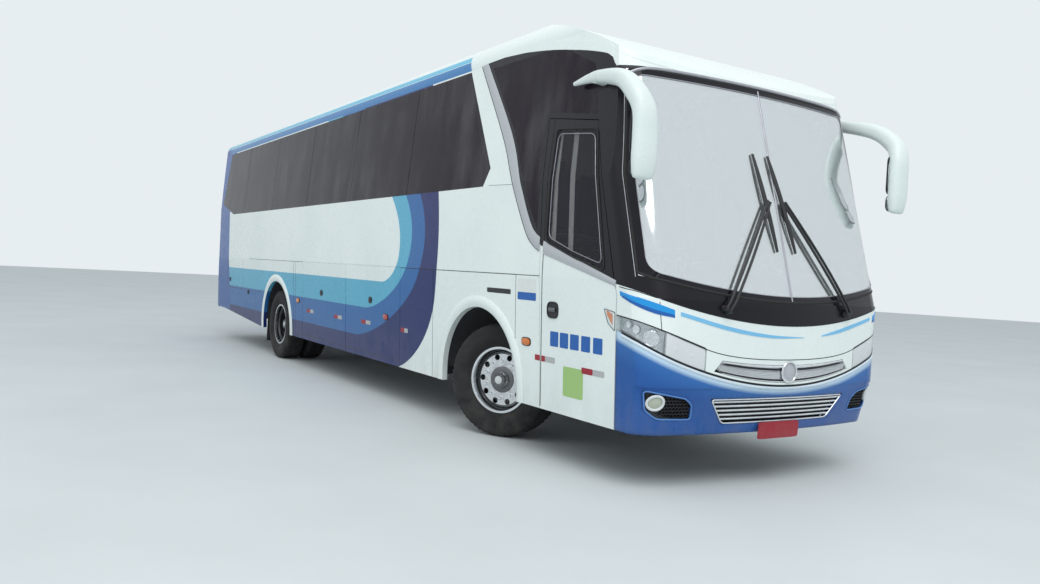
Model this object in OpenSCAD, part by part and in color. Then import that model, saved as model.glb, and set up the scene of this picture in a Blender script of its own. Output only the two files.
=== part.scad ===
// Airport coach in millimetres: +X forward, +Z up, -Y the door side, tyres stand on z = 0.

/* [Body] */
// Width over the side walls
body_w = 2600; // [2500:10:2700]
// Height of the roof's crown
roof_z = 3700; // [3600:10:3800]
// Thickness of walls, doors and flaps
wall_t = 45; // [35:1:55]
// Thickness of the roof shell
roof_t = 40; // [30:1:50]
// Height of the skirt's lower edge
skirt_z = 400; // [370:5:430]
// Height of the seam that the luggage flaps hang from
belt_z = 1470; // [1440:5:1500]
// Height of the window band's lower edge
sill_z = 2240; // [2200:5:2280]
// Height of the rounded cove between the side wall and the crown
cove_h = 320; // [300:5:340]
// How far the skirt tucks in at each side
tuck = 50; // [20:5:70]
// How far the side glass leans in at each side
lean = 100; // [60:5:120]
// Radius between side wall and roof
cove_r = 230; // [190:5:260]
// Radius of the roof's crown across the body
crown_r = 6600; // [6000:100:9000]
// Thickness of every pane
pane_t = 6; // [4:1:8]
// Seam between fixed outer panels
seam = 0.4; // [0.3:0.1:1]
// Gap round doors and flaps
door_gap = 6; // [5:1:10]
// Width of the groove between fixed panels
seam_w = 6; // [4:1:8]

/* [Front and rear] */
// Front axle to the nose
front_overhang = 2420; // [2350:10:2500]
// Plan radius of the front
nose_r = 6500; // [6000:100:8000]
// Plan radius of the front corners
corner_r = 300; // [270:5:330]
// Lean of the windscreen from upright
rake = 16; // [13:0.5:18]
// Height where the front starts to lean back
screen_z = 1360; // [1350:5:1365]
// Height of the bumper's fold
chin_z = 740; // [720:5:755]
// Slope of the bumper under its fold
chin_a = 15; // [8:1:20]
// Start of the roof's front slope behind the front axle
brow_back = 380; // [300:10:460]
// Radius of the roof's front slope, seen from the side
brow_r = 4530; // [4300:10:4900]
// Rear axle to the tail
rear_overhang = 3930; // [3850:10:4000]
// Plan radius of the tail
tail_r = 8000; // [7000:100:9000]
// Plan radius of the rear corners
tail_corner_r = 200; // [170:5:230]
// Height of the rear skirt's lower edge
tail_z = 550; // [500:5:600]

/* [Running gear] */
// Front axle ahead of the part's middle
front_axle_x = 3836; // [3700:1:3950]
// Distance between the axles
wheelbase = 6200; // [6100:10:6300]
// Radius of the tyres
tyre_r = 510; // [495:1:520]
// Width of one tyre
tyre_w = 295; // [275:1:305]
// Radius of the bead seat
bead_r = 286; // [280:1:290]
// Width between the rim's flanges
rim_w = 210; // [190:1:230]
// Centre plane of a front tyre from the centreline
front_y = 1045; // [1030:1:1060]
// Kingpin from the centreline
kingpin_y = 870; // [860:1:880]
// Angle that the front wheels are turned left at rest
steer_rest = 28; // [0:1:30]
// Centre plane of an outer rear tyre from the centreline
rear_y = 1095; // [1085:1:1100]
// Distance between the planes of twin tyres
twin_pitch = 330; // [315:1:335]
// Radius of the wheel arches
arch_r = 680; // [665:5:700]
// Height of the arches' centre
arch_z = 475; // [465:5:485]
// Width of the arch trim
trim_w = 100; // [80:5:120]
// Thickness of the arch trim
trim_t = 8; // [5:1:12]

/* [Inside] */
// Top of the saloon floor
floor_z = 1420; // [1400:5:1440]
// Top of the cab floor
cab_z = 1230; // [1200:5:1240]
// Thickness of the floors
floor_t = 60; // [50:5:70]
// Distance between seat rows
row_pitch = 820; // [780:10:850]
// Number of seat rows on each side
rows = 11; // [9:1:11]
// Distance between the chassis rails' centres
rail_gap = 860; // [840:10:870]

/* [Hidden] */
$fn = 64;
w2 = body_w / 2;
top_w2 = w2 - lean;
eaves_z = roof_z - cove_h;  // where the side wall ends and the roof begins
ax_z = tyre_r;
fx = front_axle_x;
rx = fx - wheelbase;
nose = fx + front_overhang;
tail = rx - rear_overhang;
arch_dx = -35;
fix_seam = 600;             // panel seam between wheel and door, from the front axle
door_x1 = fx + 1955;      // front edge of doorway and side walls
cove_x = bow_x(crown_r, cove_r, top_w2);
front_c = bow_x(nose_r, corner_r, w2);
rear_c = bow_x(tail_r, tail_corner_r, w2);
rear_cut = round(tail - rear_c + 2);
rail_w = 80;
rail_y = rail_gap / 2;
rail_z0 = 640;
rail_z1 = 860;
// flap front, flap rear, each from the front axle
flaps = [[-1735, -3340], [-3350, rx + 1195 - fx]];
bay_x = [fx - 1000, fx + flaps[0][1] - 5, rx + 900];   // bulkhead front faces
bay_w2 = w2 - 110;          // half width of luggage bay and steps
floor_w2 = w2 - 60;
riser_w2 = w2 - 80;
bay_z = 420;
bulk_t = 30;
hinge_r = 5;
// pane seams along the saloon, from the front axle
pane_x0 = -1680;
pane_pitch = (fx + pane_x0 - tail - 1850) / 4;
pane_x = [for (i = [0 : 4]) pane_x0 - i * pane_pitch];
post_w = 70;
door_top = [eaves_z - 634, eaves_z - 727];   // rear and front corner of the door
col_r = 22;
col = [fx + 1850, 160 - w2];      // door column
eye = [fx + 1170, 120 - w2];      // hinge eye on the leaf
arm_z = [720, 1500];
bite = 0.3;
fit = 0.3;                  // seam between pieces that are fixed face to face
bumper_top = 748;           // middle of the bumper's upper edge
bumper_bow = 3600;          // radius of that edge, and its rise to the rear
bumper_tilt = 15;
mask_z = 1196;              // middle of the black mask's lower edge
mask_bow = 5000;
mask_tilt = 8.5;
lamp_y = 800;               // inner end of a headlamp, and the height of its upper edge there
lamp_z = 1018;
grille_z = 775;
grille_h = 130;
screen_z0 = 1369;           // lower edge of the windscreen, at the middle
screen_z1 = eaves_z - 370;
pillar = 38;                // windscreen pillar, seen from the front
fog_y = 1168;
fog_z = 645;
column = [[fx + 1800, 600, 1450], [fx + 1560, 600, 1840]];   // steering column
ledge = 2;                  // step where a sloping face meets the upright one
tow_r = 25;
tow_z = 495;
jack_x = [fx - 850, fx + 1250, rx - 1100];
hub_bore = 38;

function bow_x(R, rc, w) = -R + sqrt((R - rc) * (R - rc) - (w - rc) * (w - rc));

// Bowed outline: big arc R with its crest at x = 0, corner arcs rc, straight sides at +-w.
// The corner discs stand out by bite, so that every arc crosses the next one cleanly.
module bow2d(t, R, rc, w, back) {
    xc = bow_x(R, rc, w);
    yt = (w - rc) * R / (R - rc);
    intersection() {
        translate([-R, 0]) circle(r = R - t, $fn = 360);
        translate([-back, t - w]) square([back + 100, 2 * (w - t)]);
        union() {
            for (s = [-1, 1]) translate([xc, s * (w - rc)]) circle(r = rc - t + bite);
            translate([-back, -yt]) square([back + 90, 2 * yt]);
            translate([-back, t - w - 10]) square([back + xc, 2 * (w - t + 10)]);
        }
    }
}

module along_x(a, b) { translate([a, 0, 0]) rotate([90, 0, 90]) linear_extrude(b - a) children(); }
module along_y(a, b) { translate([0, b, 0]) rotate([90, 0, 0]) linear_extrude(b - a) children(); }
module side(s) { if (s < 0) mirror([0, 1, 0]) children(); else children(); }
module box(a, b) { translate(a) cube([b[0] - a[0], b[1] - a[1], b[2] - a[2]]); }

function wall_y(z, t) = w2 - t - (z < belt_z ? tuck * (belt_z - z) / (belt_z - skirt_z)
    : z > sill_z ? lean * (z - sill_z) / (eaves_z - sill_z) : 0);

module wall2d(t0, t1) {
    polygon([[w2 - tuck - t0, skirt_z], [w2 - t0, belt_z], [w2 - t0, sill_z], [top_w2 - t0, eaves_z],
        [top_w2 - t1, eaves_z], [w2 - t1, sill_z], [w2 - t1, belt_z], [w2 - tuck - t1, skirt_z]]);
}

module body2d(t) {
    polygon([[w2 - tuck - t, skirt_z], [w2 - t, belt_z], [w2 - t, sill_z], [top_w2 - t, eaves_z],
        [t - top_w2, eaves_z], [t - w2, sill_z], [t - w2, belt_z], [tuck + t - w2, skirt_z]]);
    translate([0, roof_z]) rotate(90) bow2d(t, crown_r, cove_r, top_w2, roof_z - eaves_z);
}

// Space under the roof's long profile: level, then an arc down to the windscreen
module under_brow(t) {
    box([tail - 100, -w2 - 20, 0], [fx - brow_back, w2 + 20, roof_z - t]);
    intersection() {
        translate([fx - brow_back, 0, roof_z - brow_r]) rotate([90, 0, 0])
            cylinder(r = brow_r - t, h = body_w + 40, center = true, $fn = 360);
        box([fx - brow_back, -w2 - 20, 0], [nose + 100, w2 + 20, roof_z]);
    }
}

module front_slab(a, z, t) {
    translate([nose - (a == 0 ? 0 : ledge), 0, z]) rotate([0, a, 0]) translate([0, 0, -1500]) linear_extrude(4500)
        bow2d(t, nose_r, corner_r, w2, 3200);
}

// Front solid: chin, upright panel and raked screen, each with the same bowed plan
module front_solid(t) {
    intersection() { front_slab(chin_a, chin_z, t); box([fx, -w2, 300], [nose + 9, w2, chin_z]); }
    intersection() { front_slab(0, chin_z, t); box([fx, -w2, chin_z], [nose + 9, w2, screen_z]); }
    intersection() { front_slab(-rake, screen_z, t); box([fx, -w2, screen_z], [nose + 9, w2, roof_z + 9]); }
}

module rear_solid(t) {
    translate([tail, 0, 300]) mirror([1, 0, 0]) linear_extrude(roof_z)
        bow2d(t, tail_r, tail_corner_r, w2, 1500);
}

// Everything ahead of the side walls' front edge
module ahead(g) {
    d = (roof_z + 100 - screen_z) * tan(rake);
    along_y(-w2 - 50, w2 + 50) polygon([[door_x1 + g, 0], [nose + 300, 0], [nose + 300, roof_z + 100],
        [door_x1 + g - d, roof_z + 100], [door_x1 + g, screen_z]]);
}

module front_shell(t0, t1) {
    difference() {
        intersection() { front_solid(t0); along_x(fx, nose + 50) body2d(t0); ahead(0); }
        intersection() { front_solid(t1); along_x(fx - 50, nose + 60) body2d(t1); }
    }
}

// Region above a bowed line seen from the front: height z at the middle, rising with radius r,
// and rising to the rear by the angle a
module above_bow(z, r, a = 0) {
    translate([nose, 0, z]) rotate([0, a, 0]) translate([-1900, 0, r]) rotate([0, 90, 0])
        cylinder(r = r, h = 2000, $fn = 360);
}

module arch2d(r) {
    for (x = [fx, rx]) translate([x + arch_dx, 0]) {
        translate([0, arch_z]) circle(r = r);
        translate([-r, 0]) square([2 * r, arch_z]);
    }
}

// Saloon glass from the front axle: slanted front edge, chamfered rear corner
rear_end = tail - fx;
saloon = [[-547, eaves_z - 15], [55, sill_z + 160], [-42, sill_z], [rear_end + 1174, sill_z],
    [rear_end + 330, sill_z + 204], [rear_end + 507, eaves_z - 15]];
// Quarter glass between the swept pillar and the door, and over the door
swept = [[-130, eaves_z - 50], [390, eaves_z - 680], [700, sill_z - 120], [885, 1840]];
brow = [[1480, eaves_z - 290], [960, eaves_z - 60]];
quarter_right = concat(swept, [[885, eaves_z - 590], [1570, eaves_z - 680]], brow);
cab_left = concat(swept, [[1900, 1560]], brow);

module at_fx(p) { translate([fx, 0]) polygon(p); }

module glass_cut(s) {
    at_fx(saloon);
    at_fx(s < 0 ? quarter_right : cab_left);
}

// Opening of pane i, held back from its seams and edges by half a post
module pane_hole(i) {
    a = i == 0 ? 200 : pane_x[i - 1] - post_w / 2;
    b = i == 5 ? rear_end + 230 : pane_x[i] + post_w / 2;
    intersection() {
        translate([fx + b, sill_z + 30]) square([a - b, eaves_z - sill_z - 80]);
        at_fx([[-610, eaves_z - 45], [-30, sill_z + 160], [-90, sill_z + 30], [rear_end + 1190, sill_z + 30],
            [rear_end + 390, sill_z + 220], [rear_end + 560, eaves_z - 45]]);
    }
}

module door2d(g, gf) {
    at_fx([[985 + g, skirt_z - 1], [1955 - gf, skirt_z - 1], [1955 - gf, screen_z],
        [1593 - gf, door_top[1] - g], [914 + g, door_top[0] - g]]);
}

// Pane of the door, kept g inside its edges
module door_pane2d(g) {
    at_fx([[1050 + g, door_top[0] - 106 - g], [1590 - g, door_top[1] - 65 - g], [1800 - g, 1530 + g],
        [1415, 1622 + g], [1026 + g, 1745 + g]]);
}

module door_window2d() {
    at_fx([[1082, door_top[0] - 133], [1570, door_top[1] - 92], [1770, 1560], [1415, 1654], [1056, 1769]]);
}

// Groove along a seam of fixed panels: z0 to z1 at x, or x0 to x1 at the flaps' seam
module groove_up(x, z0, z1) {
    intersection() {
        along_x(fx + x - seam_w / 2, fx + x + seam_w / 2) wall2d(-trim_t - 1, seam_w / 2);
        box([fx + x - 50, 0, z0], [fx + x + 50, w2 + 50, z1]);
    }
}

module groove_level(x0, x1, z) {
    intersection() {
        along_x(fx + x0, fx + x1) wall2d(-trim_t - 1, seam_w / 2);
        box([fx + x0, 0, z - seam_w / 2], [fx + x1, w2 + 50, z + seam_w / 2]);
    }
}

module side_wall(s) {
    side(s) difference() {
        union() {
            along_x(rear_cut, door_x1) wall2d(0, wall_t);
            intersection() {
                along_x(rear_cut, door_x1) wall2d(-trim_t, 10);
                along_y(0, w2 + 50) arch2d(arch_r + trim_w);
            }
        }
        ahead(0);
        difference() {
            box([fx - brow_back, 0, sill_z + 260], [nose, w2 + 50, roof_z]);
            under_brow(roof_t + seam);
        }
        along_y(0, w2 + 50) arch2d(arch_r);
        for (f = flaps) box([fx + f[1], 0, 0], [fx + f[0], w2 + 50, belt_z + hinge_r + 0.6]);
        intersection() {
            along_x(tail, nose) wall2d(-1, pane_t);
            along_y(0, w2 + 50) glass_cut(s);
        }
        for (i = [0 : 5]) along_y(0, w2 + 50) pane_hole(i);
        for (x = [fix_seam, flaps[0][0] + 783]) groove_up(x, 0, belt_z);
        groove_up(flaps[1][1] - 320, 0, belt_z);
        groove_up(rx - fx + 790, 0, belt_z);
        groove_level(flaps[0][0] + 3, fix_seam, belt_z);
        groove_level(rx - fx - arch_r - 900, flaps[1][1] - 3, belt_z);
        if (s < 0) {
            along_y(0, w2 + 50) door2d(0, 0);
            along_y(0, w2 + 50) at_fx([[60, eaves_z - 110], [460, eaves_z - 670], [750, sill_z - 100],
                [850, 1960], [850, eaves_z - 110]]);
        } else
            along_y(0, w2 + 50) at_fx([[60, eaves_z - 110], [460, eaves_z - 670], [750, sill_z - 100],
                [920, 1890], [1820, 1640], [1500, eaves_z - 480], [950, eaves_z - 140]]);
        along_y(0, w2 + 50) polygon([[tail - 10, 0], [tail - 10, tail_z + 10], [tail + 700, tail_z],
            [rx - arch_r - trim_w + arch_dx, skirt_z], [rx - 700, 0]]);
    }
}

module side_glass(s) {
    side(s) {
        for (i = [0 : 5]) {
            a = i == 0 ? 200 : pane_x[i - 1] - 4;
            b = i == 5 ? rear_end + 230 : pane_x[i] + 4;
            intersection() {
                along_x(fx + b, fx + a) wall2d(0, pane_t);
                along_y(0, w2 + 50) at_fx(saloon);
            }
        }
        difference() {
            intersection() {
                along_x(fx - 200, nose) wall2d(0, pane_t);
                along_y(0, w2 + 50) at_fx(s < 0 ? quarter_right : cab_left);
            }
            if (s < 0) along_y(0, w2 + 50) door2d(0, 0);
            ahead(0);
        }
    }
}

module roof_core(t) {
    intersection() {
        along_x(tail - 20, nose + 20) body2d(t);
        under_brow(t);
        union() {
            box([tail - 50, -w2 - 5, 300], [fx + 400, w2 + 5, roof_z + 50]);
            translate([nose, 0, screen_z]) rotate([0, -rake, 0]) translate([0, 0, 800])
                linear_extrude(2200) bow2d(t, nose_r, corner_r, w2, 2400);
        }
        union() {
            rear_solid(t);
            box([tail + 700, -w2 - 5, 300], [nose + 50, w2 + 5, roof_z + 50]);
        }
    }
}

hatch_x = [fx - 1900, rx - 1000];
hatch = [800, 640];
curb = 40;

module roof() {
    color("white") difference() {
        union() {
            roof_core(0);
            for (x = hatch_x) box([x - hatch[0] / 2, -hatch[1] / 2, roof_z - 60],
                [x + hatch[0] / 2, hatch[1] / 2, roof_z + 12]);
        }
        roof_core(roof_t);
        intersection() {
            box([tail - 60, -w2 - 20, 0], [nose + 60, w2 + 20, eaves_z]);
            under_brow(roof_t);
        }
        for (x = hatch_x) box([x - hatch[0] / 2 + curb, curb - hatch[1] / 2, roof_z - 90],
            [x + hatch[0] / 2 - curb, hatch[1] / 2 - curb, roof_z + 20]);
    }
}

module roof_hatch(i) {
    color("gainsboro") translate([hatch_x[i], 0, roof_z + 12.3]) {
        box([-hatch[0] / 2 - 15, -hatch[1] / 2 - 15, 0], [hatch[0] / 2 + 15, hatch[1] / 2 + 15, 24]);
        box([-hatch[0] / 2 + 60, -hatch[1] / 2 + 60, 24], [hatch[0] / 2 - 60, hatch[1] / 2 - 60, 36]);
        translate([-hatch[0] / 2 - 20, 0, hinge_r]) rotate([90, 0, 0])
            cylinder(r = hinge_r, h = hatch[1] - 100, center = true);
        box([-hatch[0] / 2 - 20, 50 - hatch[1] / 2, 2], [-hatch[0] / 2 - 10, hatch[1] / 2 - 50, 8]);
    }
}

// Headlamp zones: a rising upper edge that also climbs to the rear, and an upright inner end
module lamp_zone(g) {
    rise = 0.315;
    tilt = 6.6;
    y1 = w2 + 100;
    for (s = [-1, 1]) side(-s) translate([nose, 0, lamp_z]) rotate([0, tilt, 0]) translate([-700, 0, 0])
        along_x(0, 760) polygon([[-y1, rise * (y1 - lamp_y) - g], [-lamp_y - g, -g], [-lamp_y - g, -300],
            [-y1, -300]]);
}

module above_bumper(g) { above_bow(bumper_top + g, bumper_bow, bumper_tilt); }
module above_mask(g) { above_bow(mask_z + g, mask_bow, mask_tilt); }

module front_panel() {
    color("white") difference() {
        intersection() { front_shell(0, wall_t); above_bumper(seam); }
        above_mask(0);
        lamp_zone(0);
        grille_up(0);
    }
}

// Upper grille: between a lower and a flatter upper bow, closed by slanting ends, all g inside
grille_bow = [3050, 6000];
grille_ends = [[640, grille_z - 70], [740, grille_z + 75], [650, grille_z + 175]];

// Region above the line that lies h over the grille's lower edge
module above_grille(h) {
    share = h / grille_h;
    above_bow(grille_z + h, 1 / ((1 - share) / grille_bow[0] + share / grille_bow[1]));
}

module grille_up(g) {
    difference() {
        intersection() {
            above_grille(g);
            along_x(nose - 500, nose + 60) polygon([for (s = [-1, 1], k = [0 : 2])
                let (p = grille_ends[s < 0 ? k : 2 - k]) [s * (p[0] - g), p[1]]]);
        }
        above_grille(grille_h - g);
    }
}

module grille_low2d(g) {
    top = [720 - g, chin_z - 75 - g];
    foot = [575 - g, 475 + g];
    polygon([[-top[0], top[1]], top, foot, [-foot[0], foot[1]]]);
}

// Recess of a fog lamp, seen from the front
module fog2d(g) {
    polygon([[fog_y + 62 - g, fog_z + 75 - g], [fog_y - 235 + g, fog_z + 25 - g], [fog_y - 300 + g, fog_z - 25],
        [fog_y - 315 + g, fog_z - 130 + g], [fog_y - 40, fog_z - 125 + g], [fog_y + 36 - g, fog_z - 65]]);
}

module fog_zone(g) { for (s = [-1, 1]) side(s) along_x(nose - 600, nose + 60) fog2d(g); }

module screen_hole(g) {
    intersection() {
        above_bow(screen_z0 + g, 5740);
        along_x(fx + 900, nose + 60) intersection() {
            body2d(pillar + g);
            translate([-w2, 0]) square([body_w, screen_z1 - g]);
        }
    }
}

module windscreen_surround() {
    color("black") difference() {
        intersection() { front_shell(0, wall_t); above_mask(seam); under_brow(roof_t + seam); }
        intersection() {
            difference() { front_slab(-rake, screen_z, -5); front_slab(-rake, screen_z, pane_t); }
            screen_hole(0);
        }
        screen_hole(35);
    }
}

module windscreen() {
    color("lightblue") for (s = [-1, 1]) side(s) intersection() {
        difference() {
            front_slab(-rake, screen_z, 0);
            front_slab(-rake, screen_z, pane_t);
        }
        screen_hole(0.3);
        box([fx, 6, 1000], [nose + 60, w2, 3300]);
    }
}

module front_bumper() {
    color("royalblue") difference() {
        front_shell(0, wall_t);
        above_bumper(0);
        along_x(nose - 400, nose + 60) grille_low2d(0);
        fog_zone(0);
    }
}

module headlamps() {
    color("lightcyan") difference() {
        intersection() { front_shell(0, wall_t); above_bumper(seam); lamp_zone(fit); }
        ahead_back(4);
    }
}

module ahead_back(g) { box([fx, -w2 - 20, 300], [door_x1 + g, w2 + 20, screen_z + 200]); }

// A plate set back in each recess, and the round lamp at its outer end
module fog_lamps() {
    lamp_r = 56;
    turn = 42;
    color("lightcyan") {
        intersection() { front_shell(14, wall_t); fog_zone(fit); }
        for (s = [-1, 1]) side(s) intersection() {
            front_shell(2, 20);
            translate([nose - 165, fog_y, fog_z]) rotate([0, 90, turn]) translate([0, 0, -60])
                cylinder(r = lamp_r, h = 140);
        }
    }
}

module upper_grille() {
    slots = 4;
    pitch = 26;
    color("silver") {
        difference() {
            intersection() {
                difference() { front_slab(0, chin_z, 2); front_slab(0, chin_z, 40); }
                grille_up(fit);
            }
            for (k = [0 : slots - 1]) intersection() {
                difference() {
                    above_grille(16 + pitch * k);
                    above_grille(30 + pitch * k);
                }
                box([nose - 500, -620, 700], [nose + 60, 620, 1200]);
            }
        }
        translate([nose + fit, 0, grille_z + 79]) rotate([0, 90, 0]) cylinder(r = 83, h = 12);
    }
}

module chin_shell(t0, t1) {
    difference() { front_slab(chin_a, chin_z, t0); front_slab(chin_a, chin_z, t1); }
}

module lower_grille() {
    color("silver") intersection() {
        chin_shell(3, 40);
        along_x(nose - 400, nose + 60) {
            difference() { grille_low2d(0.3); grille_low2d(10); }
            intersection() {
                grille_low2d(5);
                for (z = [502 : 32 : 640]) translate([-800, z]) square([1600, 15]);
            }
        }
    }
}

module rear_shell(t0, t1) {
    difference() {
        intersection() {
            rear_solid(t0);
            along_x(tail - 40, rear_cut) body2d(t0);
        }
        intersection() { rear_solid(t1); along_x(tail - 50, rear_cut + 50) body2d(t1); }
    }
}

edoor = [-760, 760, 700, 1400];

module rear_wall() {
    color("white") difference() {
        intersection() { rear_shell(0, wall_t); box([tail - 60, -w2, tail_z], [rear_cut, w2, eaves_z]); }
        box([tail - 60, edoor[0], edoor[2] - 5], [tail + 200, edoor[1], edoor[3] + hinge_r + 0.6]);
        intersection() { rear_shell(-1, pane_t); rear_light(0); }
        rear_light(50);
    }
}

// Rear window, g inside its edge
module rear_light(g) {
    box([tail - 60, g + 350 - w2, eaves_z - 1030 + g], [tail + 200, w2 - 350 - g, eaves_z - 230 - g]);
}

module engine_door() {
    color("royalblue") {
        difference() {
            intersection() {
                rear_shell(0, wall_t);
                box([tail - 60, edoor[0] + 5, edoor[2]], [tail + 200, edoor[1] - 5, edoor[3] - door_gap]);
            }
            for (z = [800 : 60 : 1240]) box([tail - 60, -560, z], [tail + 200, 560, z + 22]);
        }
        translate([tail + hinge_r, 0, edoor[3]]) rotate([90, 0, 0]) cylinder(r = hinge_r, h = 500, center = true);
        box([tail + hinge_r - 1, -250, edoor[3] - door_gap - 6], [tail + hinge_r + 3, 250, edoor[3]]);
    }
}

module rear_glass() {
    color("lightblue") intersection() {
        rear_shell(0, pane_t);
        rear_light(fit);
    }
}

module tail_lamps() {
    color("red") for (s = [-1, 1]) intersection() {
        rear_shell(-10, -0.3);
        side(s) box([tail - 60, 930, 880], [tail + 200, 1150, 1320]);
    }
}

module wheel_housings() {
    color("dimgray") for (s = [-1, 1], x = [fx, rx]) side(s) difference() {
        translate([x + arch_dx, w2 - 20, arch_z]) rotate([90, 0, 0])
            cylinder(r = arch_r + 30, h = x == fx ? 760 : 800);
        translate([x + arch_dx, w2, arch_z]) rotate([90, 0, 0]) cylinder(r = arch_r + 18, h = 900);
        box([x - 900, 0, -400], [x + 900, w2 + 50, arch_z + 60]);
        along_x(x - 900, x + 900) wall2d(-50, wall_t + 0.3);
    }
}

// Frame members stand face to face with a narrow seam, so that each stays a plain bar
module rails(x0, x1, posts) {
    for (s = [-1, 1]) side(s) {
        box([x0, rail_y - rail_w / 2, rail_z0], [x1, rail_y + rail_w / 2, rail_z1]);
        for (x = posts) box([x, rail_y - rail_w / 2, rail_z1 + fit],
            [x + 80, rail_y + rail_w / 2, (x < fx + 700 ? floor_z : cab_z) - floor_t]);
    }
}

module cross_members(xs) {
    for (x = xs) box([x, -rail_y + rail_w / 2 + fit, rail_z0], [x + 60, rail_y - rail_w / 2 - fit, rail_z0 + 60]);
}

module jack_pads(xs) {
    for (s = [-1, 1], x = xs) side(s)
        box([x - 60, rail_y - 60, rail_z0 - 40], [x + 60, rail_y + 60, rail_z0 - fit]);
}

module front_frame() {
    color("dimgray") {
        rails(bay_x[0] + bulk_t, nose - 380, [fx + 600, fx + 1500]);
        cross_members([nose - 460, fx + 760, fx - 760]);
        jack_pads([jack_x[0], jack_x[1]]);
        intersection() {
            front_solid(wall_t + fit);
            union() {
                box([nose - 380 + fit, -900, 690], [nose - 300, 900, 790]);
                for (s = [-1, 1]) side(s) box([nose - 300 + fit, 640, 700], [nose, 740, 780]);
            }
        }
    }
}

module rear_frame() {
    color("dimgray") {
        rails(tail + 320, bay_x[2], [tail + 700, bay_x[2] - 80, rx - 900]);
        cross_members([rx + 700, rx - 760, tail + 480, tail + 1500]);
        jack_pads([jack_x[2]]);
        for (s = [-1, 1]) side(s) difference() {
            union() {
                box([tail + 320, rail_y - rail_w / 2, tow_z - 40],
                    [tail + 560, rail_y + rail_w / 2, rail_z0 - fit]);
                box([tail + 60, rail_y - rail_w / 2, tow_z - 40],
                    [tail + 330, rail_y + rail_w / 2, tow_z + 40]);
            }
            translate([tail, rail_y, tow_z]) rotate([0, 90, 0]) cylinder(r = tow_r, h = 200);
        }
    }
}

module luggage_bay() {
    color("gray") {
        box([bay_x[2], -bay_w2, bay_z], [bay_x[0] + bulk_t, bay_w2, bay_z + 30]);
        for (x = bay_x) box([x, -bay_w2, bay_z], [x + bulk_t, bay_w2, floor_z - floor_t]);
    }
}

step_in = 508;              // inner side of the stairwell, from the centreline

// Saloon floor, step up to it, cab floor and landing meet with narrow seams
module saloon_floor() {
    color("slategray") {
        intersection() {
            box([tail + 40, -floor_w2, floor_z - floor_t], [fx + 720, floor_w2, floor_z]);
            union() { rear_solid(wall_t + fit); box([tail + 900, -floor_w2 - 9, 0], [nose, floor_w2 + 9, roof_z]); }
        }
        box([fx + 700, -riser_w2, cab_z - floor_t], [fx + 720, riser_w2, floor_z - floor_t - fit]);
        box([fx + 720 + fit, -step_in, cab_z - floor_t], [nose - 450, w2 - 150, cab_z]);
        box([fx + 720 + fit, -riser_w2, cab_z - floor_t], [fx + 980, -step_in - fit, cab_z]);
    }
}

step_z = [420, 690, 960];
step_y = [-bay_w2, -1000, -760, -step_in - 12];

module entrance_steps() {
    color("slategray") {
        for (i = [0 : 2]) {
            box([fx + 990, step_y[i], step_z[i] - 20], [fx + 1940, step_y[i + 1] + 12, step_z[i]]);
            box([fx + 990, step_y[i + 1], step_z[i] - 20],
                [fx + 1940, step_y[i + 1] + 12, i == 2 ? cab_z : step_z[i + 1]]);
        }
        for (x = [fx + 980 + fit, fx + 1940]) along_x(x, x + 10 - fit) polygon([[-bay_w2, 400],
            [-step_in, 400], [-step_in, cab_z], [75 - w2, cab_z]]);
    }
}

// Mirror: a horn from the brow, out and down into the head
// x from the front axle, y, z below the eaves, radius
horn = [[1290, 1290, 425, 24], [1680, 1330, 440, 45], [2010, 1395, 520, 60], [2210, 1425, 660, 62]];
head = [[2225, 1290, 1225], [2325, 1490, 700]];

module side_mirror(s) {
    color("white") side(s) translate([fx, 0, eaves_z]) {
        for (i = [0 : 2]) hull() for (k = [0, 1])
            translate([horn[i + k][0], horn[i + k][1], -horn[i + k][2]]) sphere(r = horn[i + k][3], $fn = 16);
        hull() {
            translate([horn[3][0], horn[3][1], -horn[3][2]]) sphere(r = horn[3][3], $fn = 16);
            box([head[0][0], head[0][1] + 15, -head[0][2] + 30], [head[1][0] - 20, head[1][1], -head[1][2]]);
            box([head[0][0], head[0][1], -head[0][2] + 60], [head[1][0], head[1][1] - 15, -head[1][2] - 40]);
            box([head[0][0] + 10, head[0][1] + 30, -head[0][2]], [head[1][0] - 30, head[1][1] - 30, -head[1][2]]);
        }
        difference() {
            hull() {
                box([1500, 1150, -480], [1660, 1180, -400]);
                box([1560, 1330, -480], [1660, 1350, -410]);
            }
            translate([-fx, 0, -eaves_z]) along_x(fx, nose) body2d(-fit);
        }
    }
}

// Wiper arms on the screen: pivot y, z then elbow y, z; blade top y, z then foot y, z
arms = [[-660, 1300, -110, 2120, -190, 2480, -90, 1740], [660, 1300, 60, 2120, -30, 2480, 110, 1740]];

function screen_x(y, z, off) = nose - y * y / (2 * nose_r) - (z - screen_z) * tan(rake) + off / cos(rake);

module bar(a, b, r) {
    d = b - a;
    l = norm(d);
    translate(a) rotate([0, acos(d[2] / l), atan2(d[1], d[0])]) cylinder(r = r, h = l, $fn = 16);
}

module wipers() {
    color("black") for (a = arms) {
        p = [screen_x(a[0], a[1], 42), a[0], a[1]];
        e = [screen_x(a[2], a[3], 42), a[2], a[3]];
        bar(p, e, 11);
        bar([screen_x(a[4], a[5], 24), a[4], a[5]], [screen_x(a[6], a[7], 24), a[6], a[7]], 9);
        m = a[4] + (a[6] - a[4]) * (a[3] - a[5]) / (a[7] - a[5]);
        bar(e, [screen_x(m, a[3], 24), m, a[3]], 9);
        difference() {
            bar([screen_x(a[0], a[1], -60), a[0], a[1]], p, 24);
            front_slab(0, chin_z, -0.3);
        }
    }
}

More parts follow.
